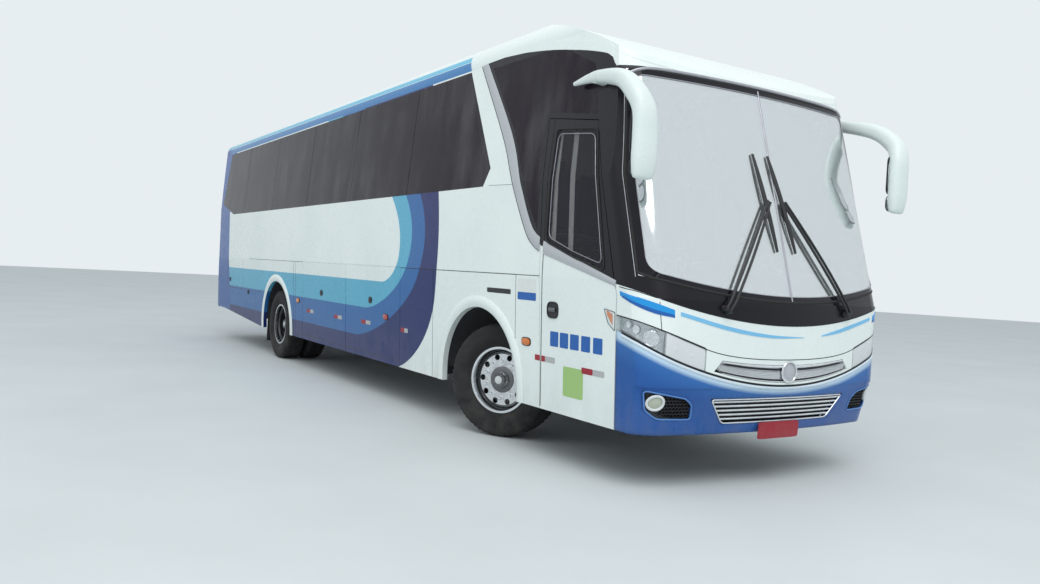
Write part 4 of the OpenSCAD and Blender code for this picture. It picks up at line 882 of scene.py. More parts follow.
def buildScreen():
    # dark border inside the screen's outline, rubber and bright bead along its edges, divider, grey top rail
    screen = dict(half=1.246, sillZ=1.369, sillR=5.74, sideZ=(1.53, 2.98), inset=0.038, topZ=3.010, cut=0.03,
                  border=0.042, divider=(1.375, 3.005), rail=1.17, railZ=3.032, railDrop=0.05,
                  pillarZ=(1.50, 3.0), pillarInset=0.030)
    y = np.linspace(-screen["half"], screen["half"], 60)
    sill = np.stack([y, screen["sillZ"] + screen["sillR"] - np.sqrt(screen["sillR"] ** 2 - y ** 2)], -1)
    up = np.linspace(*screen["sideZ"], 24)
    left = np.stack([wallY(up) - screen["inset"], up], -1)
    right = left * [-1, 1]
    top = [[sign * (left[-1, 0] - screen["cut"]), screen["topZ"]] for sign in (1, -1)]
    around = np.vstack([sill[1:-1], left, top, right[::-1]])
    around = evenLine(np.vstack([around, around[:1]]), 361)[:-1]
    # the inner edge of the dark border: moved in by its width, corners rounded by a running mean
    step = np.roll(around, -1, 0) - np.roll(around, 1, 0)
    inward = np.stack([-step[:, 1], step[:, 0]], -1) / np.linalg.norm(step, axis=1)[:, None]
    inner = around + screen["border"] * inward
    inner = sum(np.roll(inner, k, 0) for k in range(-6, 7)) / 13
    closed = [np.vstack([line, line[:1]]) for line in (around, inner)]
    t = np.linspace(0, 1, 5)[None, :, None]
    uv = closed[0][:, None] * (1 - t) + closed[1][:, None] * t
    border = [faceSurface(uv[..., 0], uv[..., 1], off + 0 * uv[..., 0]) for off in (0.004, -0.001)]
    makePiece("screenBorder", [shell(*border)], "black", sharp=50)
    for name, line, size, off, look in (("screenRubber", around, 0.011, -0.002, "rubber"),
                                        ("screenBead", inner, 0.0035, 0.004, "rail")):
        path = faceSurface(line[:, 0], line[:, 1], off + 0 * line[:, 0])
        makePiece(name, [tube(path, size, 10, loop=True)], look)
    z = np.linspace(*screen["divider"], 50)
    divider = tube(faceSurface(0 * z, z, 0 * z + 0.001), (0.006, 0.0085), 10, (0, 1.0, 0))
    makePiece("screenDivider", [divider], "rail")
    # the top rail drops near its ends by a high power of the width
    y = np.linspace(-screen["rail"], screen["rail"], 120)
    rail = faceSurface(y, screen["railZ"] - screen["railDrop"] * np.abs(y / screen["rail"]) ** 14,
                       0 * y + 0.004)
    makePiece("screenRail", [tube(rail, (0.010, 0.012), 16)], "rail")
    # a painted highlight along the black pillars' edges beside the screen, made as thin grey metal beads
    z = np.linspace(*screen["pillarZ"], 30)
    lines = [faceSurface(side * (wallY(z) - screen["pillarInset"]), z, 0 * z + 0.002) for side in (-1, 1)]
    makePiece("pillarHighlightBeads", [tube(line, 0.0035, 8) for line in lines], "rail")


def buildWipers():
    # per wiper two parallel rods from the boss to the elbow, a link, a blade carrier and its rubber;
    # a wiper's four points are its pivot, elbow, blade top and blade foot
    wiper = dict(arms=[((-0.66, 1.30), (-0.11, 2.12), (-0.19, 2.48), (-0.09, 1.74)),
                       ((0.66, 1.30), (0.06, 2.12), (-0.03, 2.48), (0.11, 1.74))], rod=0.0105, apart=0.038,
                 off=0.042, bossR=[0.022, 0.024, 0.024, 0.02, 0.016, 0.012], base=(0.03, 0.012),
                 link=(0.009, 0.007), rubber=(0.0035, 0.006))
    metal, rubber = [], []
    for points in wiper["arms"]:
        pivot, elbow, top, foot = (np.array(p) for p in points)
        along = (elbow - pivot) / np.linalg.norm(elbow - pivot)
        across = np.array([-along[1], along[0]]) * wiper["apart"] / 2
        for sign in (-1, 1):
            line = smoothLine([pivot + sign * across, (pivot + elbow) / 2 + sign * across,
                               elbow + sign * across * 0.7], 30)
            off = wiper["off"] - 0.012 * np.linspace(-1, 1, 30) ** 2
            metal.append(tube(faceSurface(line[:, 0], line[:, 1], off), wiper["rod"], 10))
            stub = np.linspace(-0.02, 0.045, 6)
            at = pivot + sign * across
            path = faceSurface(at[0] + 0 * stub, at[1] + 0 * stub, stub)
            metal.append(tube(path, wiper["bossR"], 16, (0, 0, 1.0)))
        base = smoothLine([pivot - across * 1.9, pivot + across * 1.9], 10)
        metal.append(tube(faceSurface(base[:, 0], base[:, 1], np.full(10, 0.012)), wiper["base"], 12))
        middle = top + (foot - top) * (top[1] - elbow[1]) / (top[1] - foot[1])
        link = smoothLine([elbow - across, (elbow + middle) / 2, middle], 12)
        path = faceSurface(link[:, 0], link[:, 1], np.linspace(0.034, 0.03, 12))
        metal.append(tube(path, wiper["link"], 10))
        line = smoothLine([top, foot], 60)
        bow = 1 - np.linspace(-1, 1, 60) ** 2
        size = np.stack([0.004 + 0.004 * bow, 0.010 + 0.006 * bow], -1)
        metal.append(tube(faceSurface(line[:, 0], line[:, 1], 0.016 + 0.012 * bow), size, 10))
        rubber.append(tube(faceSurface(line[:, 0], line[:, 1], np.full(60, 0.0085)), wiper["rubber"], 8))
    makePiece("wiperArms", metal, "plastic", sharp=40, replaces=("wipers",))
    makePiece("wiperRubbers", rubber, "rubber")


def buildHeadlamps():
    # clear lens round the corner, reflector with projector bowl behind it, pale housing towards the grille;
    # layers give each skin's ends by arc length, its gaps to the lamp's lower and upper edge, its depths,
    # counts and crown
    lamp = dict(outer=1.575, lensEnd=1.14, inner=0.815, sealEnd=1.56, bowl=(1.243, 1.080), bowlR=0.052,
                cupR=0.046, domeR=0.040, smallCups=((0.13, 0.055, 0.030), (0.215, 0.082, 0.022)),
                dimples=((1.06, 0.030), (0.93, 0.024)))
    layers = dict(glass=(lamp["outer"], lamp["lensEnd"], 0.006, 0.005, -0.004, 0.0, 40, 8, 0.003),
                  silver=(lamp["outer"], lamp["lensEnd"], 0.010, 0.009, -0.05, -0.034, 40, 10, -0.012),
                  pale=(lamp["lensEnd"] - 0.004, lamp["inner"], 0.006, 0.005, -0.03, -0.003, 40, 8, 0.004),
                  black=(lamp["outer"], lamp["inner"], 0.002, 0.002, -0.056, -0.052, 60, 4, 0))
    tip = dict(lens=([(1.592, 1.246), (1.64, 1.155), (1.716, 1.106)],
                     [(1.592, 1.268), (1.64, 1.262), (1.716, 1.236)]),
               rim=[(1.592, 1.257), (1.718, 1.238), (1.718, 1.104), (1.64, 1.155)],
               amber=([(1.625, 1.216), (1.69, 1.146)], [(1.625, 1.248), (1.69, 1.222)]))
    skins, bowls = {key: [] for key in layers}, []
    for side, word in sides:
        def edges(s0, s1, low, high, count):
            s = np.linspace(s0, s1, count)
            return np.stack([side * s, bumperEdge(s) + low], -1), np.stack([side * s, lampEdge(s) - high], -1)

        for key, (s0, s1, low, high, inside, outside, n, m, crown) in layers.items():
            lines = edges(s0, s1, low, high, n)
            skins[key].append(band(frontSurface, *lines, inside, outside, n, m, crown, False))
        line = edges(lamp["sealEnd"], lamp["inner"], 0.0, 0.001, 90)[1]
        skins["black"].append(stripe(frontSurface, line, 0.007, -0.002, 0.0012, 90, 3, 0, False))
        at = (side * lamp["bowl"][0], lamp["bowl"][1])
        bowls.append(ring(frontSurface, at, lamp["bowlR"], 0.006, -0.014))
        bowls.append(boss(frontSurface, at, (lamp["cupR"],) * 2, -0.034, -0.026, -0.004, 2, 40))
        skins["glass"].append(boss(frontSurface, at, (lamp["domeR"],) * 2, -0.028, -0.026, 0.016, 2, 40))
        for ds, dz, r in lamp["smallCups"]:
            spot = (side * (lamp["bowl"][0] + ds), lamp["bowl"][1] + dz)
            bowls.append(boss(frontSurface, spot, (r * 1.15, r), -0.036, -0.028, -0.006, 2, 30))
        for where, r in lamp["dimples"]:
            spot = (side * where, float((bumperEdge(where) + lampEdge(where)) / 2) - 0.006)
            skins["pale"].append(boss(frontSurface, spot, (r * 0.9, r), -0.006, -0.001, 0.004, 2, 30))
        wall = sideSurface(side)
        rides = "door" if side < 0 else "body"
        lens = band(wall, *tip["lens"], 0.0005, 0.003, 20, 7, 0.004)
        rim = bead(wall, tip["rim"], 0.0025, 0.012, 90, 0.001)
        amber = band(wall, *tip["amber"], 0.0003, 0.0022, 10, 5, 0.001)
        makePiece("lampTip" + word, [lens], "lampGlass", rides)
        makePiece("lampTipRim" + word, [rim], "seam", rides)
        makePiece("lampTipAmber" + word, [amber], "amber", rides)
    makePiece("lampLenses", skins["glass"], "lampGlass", replaces=("headlamps",))
    makePiece("lampReflectors", skins["silver"], "reflector", sharp=60)
    makePiece("lampBowls", bowls, "chrome")
    makePiece("lampHousings", skins["pale"], "housing")
    makePiece("lampSeals", skins["black"], "seam")


def buildFogLamps():
    # recess with a wide-meshed grid, and a round lamp in a pale bezel at the outer end; cells of the grid
    # are kept between the outline's lower, upper and inner edges and clear of the lamp
    fog = dict(outline=[(1.23, 0.72), (0.933, 0.67), (0.868, 0.62), (0.853, 0.515), (1.128, 0.52),
                        (1.204, 0.58)],
               at=(1.150, 0.636), lens=0.043, cell=0.016, gridU=(0.855, 1.10), gridV=(0.52, 0.72),
               lower=([0.853, 1.128], [0.528, 0.534]), upper=([0.868, 0.933, 1.23], [0.622, 0.658, 0.706]),
               inner=([0.515, 0.62, 0.67], [0.862, 0.878, 0.943]), clearR=0.062)
    back, grid, bezel, lens, lips = [], [], [], [], []
    for side in (-1, 1):
        o = np.array(fog["outline"]) * [side, 1]
        top, foot = [o[2] + [0, 0.045], o[1], o[0]], [o[3], (o[3] + o[4]) / 2, o[5]]
        back.append(band(faceSurface, top, foot, -0.034, -0.028, 40, 8, 0, False))
        u, v = np.meshgrid(np.arange(*fog["gridU"], fog["cell"] * 1.75),
                           np.arange(*fog["gridV"], fog["cell"] * 1.5))
        u = u + (np.arange(len(v))[:, None] % 2) * fog["cell"] * 0.875
        keep = (v > np.interp(u, *fog["lower"])) & (v < np.interp(u, *fog["upper"]))
        apart = np.hypot(u - fog["at"][0], v - fog["at"][1])
        keep &= (u > np.interp(v, *fog["inner"])) & (apart > fog["clearR"])
        cells = np.stack([side * u[keep], v[keep]], -1)
        grid.append(honeycomb(faceSurface, cells, fog["cell"] * 1.08, -0.026, -0.012, (1.05, 0.92), 0.78))
        at = (side * fog["at"][0], fog["at"][1])
        bezel.append(ring(faceSurface, at, fog["lens"] + 0.007, 0.010, -0.003))
        bezel.append(boss(faceSurface, at, (fog["lens"] + 0.01,) * 2, -0.03, -0.012, 0.0, 2, 40))
        lens.append(boss(faceSurface, at, (fog["lens"],) * 2, -0.012, -0.006, 0.009, 2, 40, 8))
        # beads round each recess: their roundness catches real highlights, and their lighter blue is a
        # painted highlight on the recess's edge
        lips.append(bead(faceSurface, o, 0.006, 0.03, 150, -0.002))
    makePiece("fogBacks", back, "plastic")
    makePiece("fogGrids", grid, "plastic", sharp=30, replaces=("fog_lamps",))
    makePiece("fogBezels", bezel, "housing")
    makePiece("fogLenses", lens, "fog")
    makePiece("fogHighlightLips", lips, "fogHighlightLip")


def grilleZ(h, y):
    # height of the line h above the upper grille's lower edge: its bow flattens upwards, as the curvature
    # runs evenly from the lower edge's to the upper edge's
    grille = dict(z=0.775, tall=0.13, lowR=3.05, highR=6.0)
    share = h / grille["tall"]
    radius = 1 / ((1 - share) / grille["lowR"] + share / grille["highR"])
    return grille["z"] + h + radius - np.sqrt(radius ** 2 - y ** 2)


def buildUpperGrille():
    # grey frame, dark slots, honeycomb band, chrome lips, bare disc in the middle; a bar is given by its
    # lower and upper line, their half widths, its depths and its crown
    bars = dict(frame=[(0.001, 0.062, 0.648, 0.738, -0.03, -0.010, 0),
                       (0.062, 0.129, 0.738, 0.652, -0.03, -0.010, 0)],
                lips=[(0.003, 0.012, 0.65, 0.66, -0.012, -0.002, 0.004),
                      (0.024, 0.030, 0.675, 0.685, -0.012, -0.003, 0.003),
                      (0.083, 0.088, 0.715, 0.70, -0.012, -0.003, 0.003),
                      (0.106, 0.127, 0.672, 0.655, -0.012, -0.004, 0.005)],
                slots=[(0.012, 0.025, 0.66, 0.675, -0.011, -0.004, 0),
                       (0.089, 0.106, 0.655, 0.61, -0.011, -0.004, 0)])
    mesh = dict(high=(0.036, 0.079), cell=0.0075, reach=0.70, half=0.672, slope=0.7, fromH=0.03, clear=0.088)
    disc = dict(at=(0.0, 0.854), ringR=0.076, plateR=0.074, raisedR=0.046)
    t = np.linspace(-1, 1, 90)
    parts = {key: [] for key in bars}
    for key, rows in bars.items():
        for h0, h1, y0, y1, low, high, crown in rows:
            lines = [np.stack([y * t, grilleZ(h, y * t)], -1) for h, y in ((h0, y0), (h1, y1))]
            parts[key].append(band(faceSurface, *lines, low, high, 90, 5, crown, False))
    makePiece("grilleFrame", parts["frame"], "rail", replaces=("upper_grille",))
    makePiece("grilleLips", parts["lips"], "chrome", sharp=50)
    makePiece("grilleSlots", parts["slots"], "seam")
    step = mesh["cell"] * 1.75
    u, h = np.meshgrid(np.arange(-mesh["reach"], mesh["reach"], step),
                       np.arange(*mesh["high"], mesh["cell"] * 1.5))
    u = u + (np.arange(len(h))[:, None] % 2) * step / 2
    z = grilleZ(h, u)
    keep = (np.abs(u) < mesh["half"] + mesh["slope"] * (h - mesh["fromH"])) & (np.abs(u) > mesh["clear"])
    cells = np.stack([u[keep], z[keep]], -1)
    makePiece("grilleMesh", [honeycomb(faceSurface, cells, mesh["cell"], -0.011, -0.004, wall=0.66)],
              "housing", sharp=30)
    makePiece("grilleDiscRing", [ring(faceSurface, disc["at"], disc["ringR"], 0.008, 0.007, 64)], "chrome")
    plates = [boss(faceSurface, disc["at"], (disc["plateR"],) * 2, -0.02, 0.002, 0.004, 2, 64, 8),
              boss(faceSurface, disc["at"], (disc["raisedR"],) * 2, 0.0, 0.006, 0.003, 2, 48, 6)]
    makePiece("grilleDisc", plates, "silver")


def buildLowerGrille():
    # five crowned chrome slats in a slim frame, dark behind, blank red plate under them; the half width
    # grows evenly with the height
    low = dict(slats=(0.502, 0.534, 0.566, 0.598, 0.630), width=0.017, depth=0.02, half=0.567, fromZ=0.475,
               slope=0.763, frame=[(-0.712, 0.658), (0.712, 0.658), (0.570, 0.480), (-0.570, 0.480)],
               backTop=(0.722, 0.668), backFoot=(0.572, 0.472))
    plate = dict(at=(0.0, 0.412), half=(0.22, 0.064), field=(0.208, 0.054), back=0.060, slope=0.05,
                 fromZ=0.47, bracketY=0.11, bracketR=0.012)

    def level(z):
        half = low["half"] + (z - low["fromZ"]) * low["slope"]
        return [(-half, z), (half, z)]

    slats = []
    for z in low["slats"]:
        lines = level(z), level(z + low["width"])
        slats.append(band(faceSurface, *lines, -low["depth"], -0.008, 60, 7, 0.006, False))
    slats.append(bead(faceSurface, low["frame"], 0.006, 0.03, 260, -0.002))
    makePiece("lowerSlats", slats, "chrome", sharp=50, replaces=("lower_grille",))
    top, foot = ([(-y, z), (y, z)] for y, z in (low["backTop"], low["backFoot"]))
    makePiece("lowerGrilleBack", [band(faceSurface, top, foot, -0.054, -0.047, 60, 6, 0, False)], "plastic")
    face = flatSurface(body["nose"] - plate["back"], plate["slope"], plate["fromZ"])
    fields = [boss(face, plate["at"], plate["half"], -0.004, 0.0, 0.0, 12, 48),
              boss(face, plate["at"], plate["field"], -0.001, 0.0014, 0.0, 12, 48)]
    makePiece("frontPlate", fields, "plate", sharp=40)
    brackets = []
    for y in (-plate["bracketY"], plate["bracketY"]):
        path = [(body["nose"] - 0.11, y, 0.43), (body["nose"] - 0.064, y, 0.42)]
        brackets.append(tube(path, plate["bracketR"], 10))
    makePiece("plateBrackets", brackets, "steel")


def buildMirrors():
    # the horn swells from its tip over the door, bends down and runs into the tall head; x counts from the
    # front axle, a glass has its height, half sizes and squareness
    mirror = dict(y=1.39, backX=2.226, frontX=2.3245, slot=(2.30, 0.036, 0.010), stemZ=2.94,
                  stem=((1.58, 1.15), (1.60, 1.24), (1.62, 1.325)),
                  line=[(1.290, 1.290, 2.955), (1.50, 1.305, 2.962), (1.680, 1.330, 2.945),
                        (2.010, 1.395, 2.868), (2.190, 1.420, 2.745), (2.262, 1.400, 2.62),
                        (2.275, 1.390, 2.45), (2.275, 1.390, 2.28), (2.270, 1.390, 2.170),
                        (2.268, 1.390, 2.152)],
                  radii=[(0.016, 0.016), (0.036, 0.030), (0.050, 0.042), (0.064, 0.060), (0.070, 0.072),
                         (0.062, 0.088), (0.054, 0.098), (0.051, 0.099), (0.036, 0.082), (0.012, 0.05)],
                  glass=((2.47, 0.083, 0.155, 6), (2.235, 0.076, 0.058, 5)))
    line = smoothLine([(*p, *r) for p, r in zip(mirror["line"], mirror["radii"])], 90)
    for side, word in sides:
        path = line[:, :3] * [1, side, 1] + [body["frontAxle"], 0, 0]
        ends = [[body["frontAxle"] + x, side * y, mirror["stemZ"]] for x, y in mirror["stem"]]
        parts = [tube(path, line[:, 3:], 28, (0, 1.0, 0), 2.5),
                 tube(smoothLine(ends, 14), (0.055, 0.034), 18, (0, 0, 1.0), 2.6)]
        makePiece("mirror" + word, parts, "mirror", sharp=60, replaces=("mirror_" + word.lower(),))
        face = flatSurface(body["frontAxle"] + mirror["backX"], facing=-1)
        panes, rims = [], []
        for z, a, b, square in mirror["glass"]:
            at = (side * mirror["y"], z)
            panes.append(boss(face, at, (a, b), -0.01, 0.003, 0.003, square, 48))
            rims.append(bead(face, corners(at, (a + 0.004, b + 0.004)), 0.005, 0.05, 80))
        makePiece("mirrorPanes" + word, panes, "mirrorGlass")
        makePiece("mirrorRims" + word, rims, "plastic")
        z, a, b = mirror["slot"]
        front = flatSurface(body["frontAxle"] + mirror["frontX"])
        slot = boss(front, (side * mirror["y"], z), (a, b), -0.008, 0.001, 0.0, 3, 30)
        makePiece("mirrorSlot" + word, [slot], "plastic")


def wheelCarry(side, isFront):
    # wheel-local points with y outboard into place, the front ones turned with the steering
    a = turn if isFront else 0.0
    x, y = (body["frontAxle"], side * pivotY) if isFront else (body["rearAxle"], 0.0)
    at = np.array([x, y, body["axleZ"]])

    def carry(part):
        p, f = part
        x, y, z = p[:, 0], side * p[:, 1], p[:, 2]
        return at + np.stack([math.cos(a) * x - math.sin(a) * y, math.sin(a) * x + math.cos(a) * y, z], -1), f
    return carry


def tyreShape(plane):
    # closed ring: smooth side walls with ribs, four tread grooves by width, shoulder notches by angle
    tyre = dict(count=300, blocks=60, grooves=(0.066, 0.022, -0.022, -0.066), depth=0.010, notch=0.009)
    wall = smoothLine([(0.2865, 0.104), (0.300, 0.1045), (0.322, 0.117), (0.346, 0.133), (0.401, 0.1465),
                       (0.455, 0.142), (0.480, 0.134), (0.498, 0.1245), (0.506, 0.112)], 26)
    wall[:, 1] += 0.0015 * (np.abs(wall[:, 0] - 0.372) < 0.008) - 0.001 * (np.abs(wall[:, 0] - 0.43) < 0.012)
    tread = [(0.5085, 0.098)]
    for g in tyre["grooves"]:
        floor = 0.5098 - tyre["depth"]
        tread += [(0.5098, g + 0.0065), (floor, g + 0.0045), (floor, g - 0.0045), (0.5098, g - 0.0065)]
    tread += [(0.5085, -0.098)]
    inner = [(0.2865, -0.079), (0.346, -0.1075), (0.465, -0.1075), (0.465, 0.1075), (0.346, 0.1075),
             (0.2865, 0.079)]
    profile = np.vstack([wall, tread, wall[::-1] * [1, -1], inner])
    a = np.linspace(0, 2 * math.pi, tyre["count"], endpoint=False)[:, None]
    r, w = profile[:, 0][None], profile[:, 1][None]
    edge = np.clip((np.abs(w) - 0.088) / 0.008, 0, 1) * (r > 0.487)
    r = r - tyre["notch"] * edge * ((a * tyre["blocks"] / (2 * math.pi)) % 1.0 > 0.62)
    p = np.stack([r * np.cos(a), plane + w + 0 * r, r * np.sin(a)], -1)
    return p.reshape(-1, 3), gridFaces(tyre["count"], len(profile), True, True)


def buildWheels():
    # tyres with tread, nuts and washers, hub ring with its bolts and a plain cap; discOff leads from the
    # tyre's plane to the rim disc's outer face, hubEnd is the outer end of the CAD hub's cap
    wheel = dict(nuts=10, circle=0.1675, nut=0.0165, washer=0.024, tall=0.024, flange=0.118, bore=0.07,
                 bolts=8, boltCircle=0.054, bolt=0.0065, cover=0.068, cap=0.036, discOff=(-0.070, 0.062),
                 hubEnd=(1.145, 0.301))
    axis, middle = (0, 1, 0), (0, 0, 0)
    r, t, f, h = wheel["nut"], wheel["tall"], wheel["flange"], wheel["bore"]
    w, b, c, n = wheel["washer"], wheel["bolt"], wheel["cover"], wheel["cap"]
    washer = [(0, -0.004), (w, -0.004), (w, 0.003), (0, 0.003)]
    nut = [(0, 0), (r, 0), (r, t), (0.75 * r, t + 0.004), (0, t + 0.004)]
    bolt = [(0, 0), (b, 0), (b, 0.005), (0.004, 0.007), (0, 0.007)]
    for side, isFront, bodyName, tyreNode, planes in wheels:
        carry = wheelCarry(side, isFront)
        tyres = [carry(tyreShape(plane)) for plane in planes]
        makePiece("treadTyre_" + bodyName, tyres, "tyre", bodyName, 40, replaces=(tyreNode,))
        disc, end = planes[0] + wheel["discOff"][isFront], wheel["hubEnd"][isFront]
        nuts, hub = [], []
        for k in range(wheel["nuts"]):
            a = 2 * math.pi * (k + 0.5) / wheel["nuts"]
            at = (wheel["circle"] * math.cos(a), disc, wheel["circle"] * math.sin(a))
            nuts += [carry(revolve(washer, at, axis, 24)), carry(revolve(nut, at, axis, 6))]
        flange = [(h, -0.004), (f, -0.004), (f, 0.008), (f - 0.006, 0.012), (h, 0.012)]
        cover = [(0, -0.03), (c, -0.03), (c, -0.002), (c - 0.004, 0.003), (0, 0.003)]
        cap = [(0, 0), (n, 0), (n, 0.005), (n - 0.008, 0.009), (0, 0.011)]
        hub.append(carry(revolve([(s, disc + d) for s, d in flange], middle, axis, 64, True)))
        hub.append(carry(revolve([(s, end + d) for s, d in cover], middle, axis, 48)))
        for k in range(wheel["bolts"]):
            a = 2 * math.pi * k / wheel["bolts"]
            at = (wheel["boltCircle"] * math.cos(a), end + 0.002, wheel["boltCircle"] * math.sin(a))
            hub.append(carry(revolve(bolt, at, axis, 6)))
        makePiece("wheelNuts_" + bodyName, nuts, "chrome", bodyName, 30)
        makePiece("hubRing_" + bodyName, hub, "hub", bodyName)
        caps = [carry(revolve([(s, end + d) for s, d in cap], middle, axis, 48))]
        makePiece("hubDisc_" + bodyName, caps, "housing", bodyName)


def padGrid(size, crown, channels=(), n=22, pull=0.03):
    # closed cushion: thickness falls to the seam round its edge, the middle is crowned, channels are sewn in,
    # and the sides pull in between the corners
    k = np.sin(np.linspace(-math.pi / 2, math.pi / 2, n))
    u, v = np.meshgrid(k, k, indexing="ij")
    thick = ((1 - np.abs(u) ** 5) * (1 - np.abs(v) ** 5)).clip(0) ** 0.42
    thick = thick * (1 - crown + crown * (1 - u ** 2) * (1 - v ** 2))
    for c in channels:
        thick = thick * (1 - 0.16 * np.exp(-((v - c) / 0.06) ** 2) * (np.abs(u) < 0.86))
    x = size[0] / 2 * u * (1 - pull * (1 - v ** 2)) * (1 - 0.05 * (u * v) ** 6)
    y = size[1] / 2 * v * (1 - pull * (1 - u ** 2)) * (1 - 0.05 * (u * v) ** 6)
    return np.stack([x, y, size[2] / 2 * thick], -1), np.stack([x, y, -size[2] / 2 * thick], -1)


def puffed(part, cap):
    # cloth with inner pressure blows the cushion up a little; no point moves further than the cap
    mesh = bpy.data.meshes.new("padWork")
    mesh.from_pydata(part[0].tolist(), [], part[1].tolist())
    work = bmesh.new()
    work.from_mesh(mesh)
    bmesh.ops.remove_doubles(work, verts=work.verts, dist=1e-6)
    bmesh.ops.recalc_face_normals(work, faces=work.faces)
    work.to_mesh(mesh)
    work.free()
    pad = bpy.data.objects.new("padWork", mesh)
    bpy.context.scene.collection.objects.link(pad)
    cloth = pad.modifiers.new("puff", "CLOTH")
    cloth.settings.use_pressure = True
    cloth.settings.uniform_pressure_force = 4
    cloth.settings.effector_weights.gravity = 0
    before, after = (np.empty(len(mesh.vertices) * 3, np.float32) for _ in range(2))
    mesh.vertices.foreach_get("co", before)
    for step in range(1, 21):
        bpy.context.scene.frame_set(step)
    view = pad.evaluated_get(bpy.context.evaluated_depsgraph_get())
    view.data.vertices.foreach_get("co", after)
    before, after = before.reshape(-1, 3), after.reshape(-1, 3)
    far = np.linalg.norm(after - before, axis=1)[:, None]
    points = before + (after - before) * np.minimum(1, cap / np.maximum(far, 1e-9))
    faces = np.array([list(p.vertices) for p in mesh.polygons if len(p.vertices) == 4])
    bpy.context.scene.frame_set(1)
    bpy.data.objects.remove(pad)
    return points, faces


def buildSeats():
    # sprung cushions in cloth on steel feet: base, leaning back and head pad, in pairs along each side
    seat = dict(base=(0.455, 0.425, 0.125), back=(0.70, 0.42, 0.10), head=(0.15, 0.26, 0.085), lean=12,
                rows=11, pitch=0.82, first=0.25, y=0.735, cap=0.008)
    base = puffed(shell(*padGrid(seat["base"], 0.22, (-0.55, 0.55))), seat["cap"])
    back = puffed(shell(*padGrid(seat["back"], 0.2, (-0.5, 0.5))), seat["cap"])
    head = puffed(shell(*padGrid(seat["head"], 0.25, (), 14)), seat["cap"] / 2)
    a = math.radians(seat["lean"])
    up, out = np.array([-math.sin(a), 0, math.cos(a)]), np.array([math.cos(a), 0, math.sin(a)])

    def place(at, widths):
        # a pad's own axes are its height, width and thickness
        parts = []
        for dy in widths:
            parts.append((base[0] + np.array(at) + [0.005, dy, 0.393], base[1]))
            for pad, high, front in ((back, 0.34, 0.048), (head, 0.655, 0.060)):
                p = pad[0][:, :1] * up + pad[0][:, 1:2] * [0, 1, 0] + pad[0][:, 2:] * out
                parts.append((p + high * up + front * out + np.array(at) + [-0.215, dy, 0.43], pad[1]))
        return parts

    def feet(at, half):
        parts, at = [], np.array(at)
        for x in (-0.135, 0.125):
            for y in (-0.06, 0.06):
                parts.append(tube([at + [x, y, 0.001], at + [x, 0.92 * y, 0.32]], 0.014, 10))
            parts.append(tube([at + [x, -half, 0.322], at + [x, half, 0.322]], 0.016, 10, (0, 0, 1.0)))
        return parts

    for side, word in sides:
        pads, steel = [], []
        for k in range(seat["rows"]):
            at = (body["frontAxle"] + seat["first"] - k * seat["pitch"], side * seat["y"], 1.42)
            pads += place(at, (-0.218, 0.218))
            steel += feet(at, 0.40)
        piece = makePiece("seatPads" + word, pads, "cloth", sharp=60, replaces=("seats_" + word.lower(),))
        makePiece("seatFeet" + word, steel, "steel")
    at = (body["frontAxle"] + 1.05, 0.6, 1.23)
    piece = makePiece("driverPads", place(at, (0.0,)), "cloth", sharp=60, replaces=("driver_seat",))
    column = revolve([(0, 0.001), (0.13, 0.001), (0.13, 0.02), (0.06, 0.04), (0.055, 0.30), (0.15, 0.325),
                      (0, 0.325)], at,
                     (0, 0, 1), 32)
    makePiece("driverSeatFoot", [column], "steel")


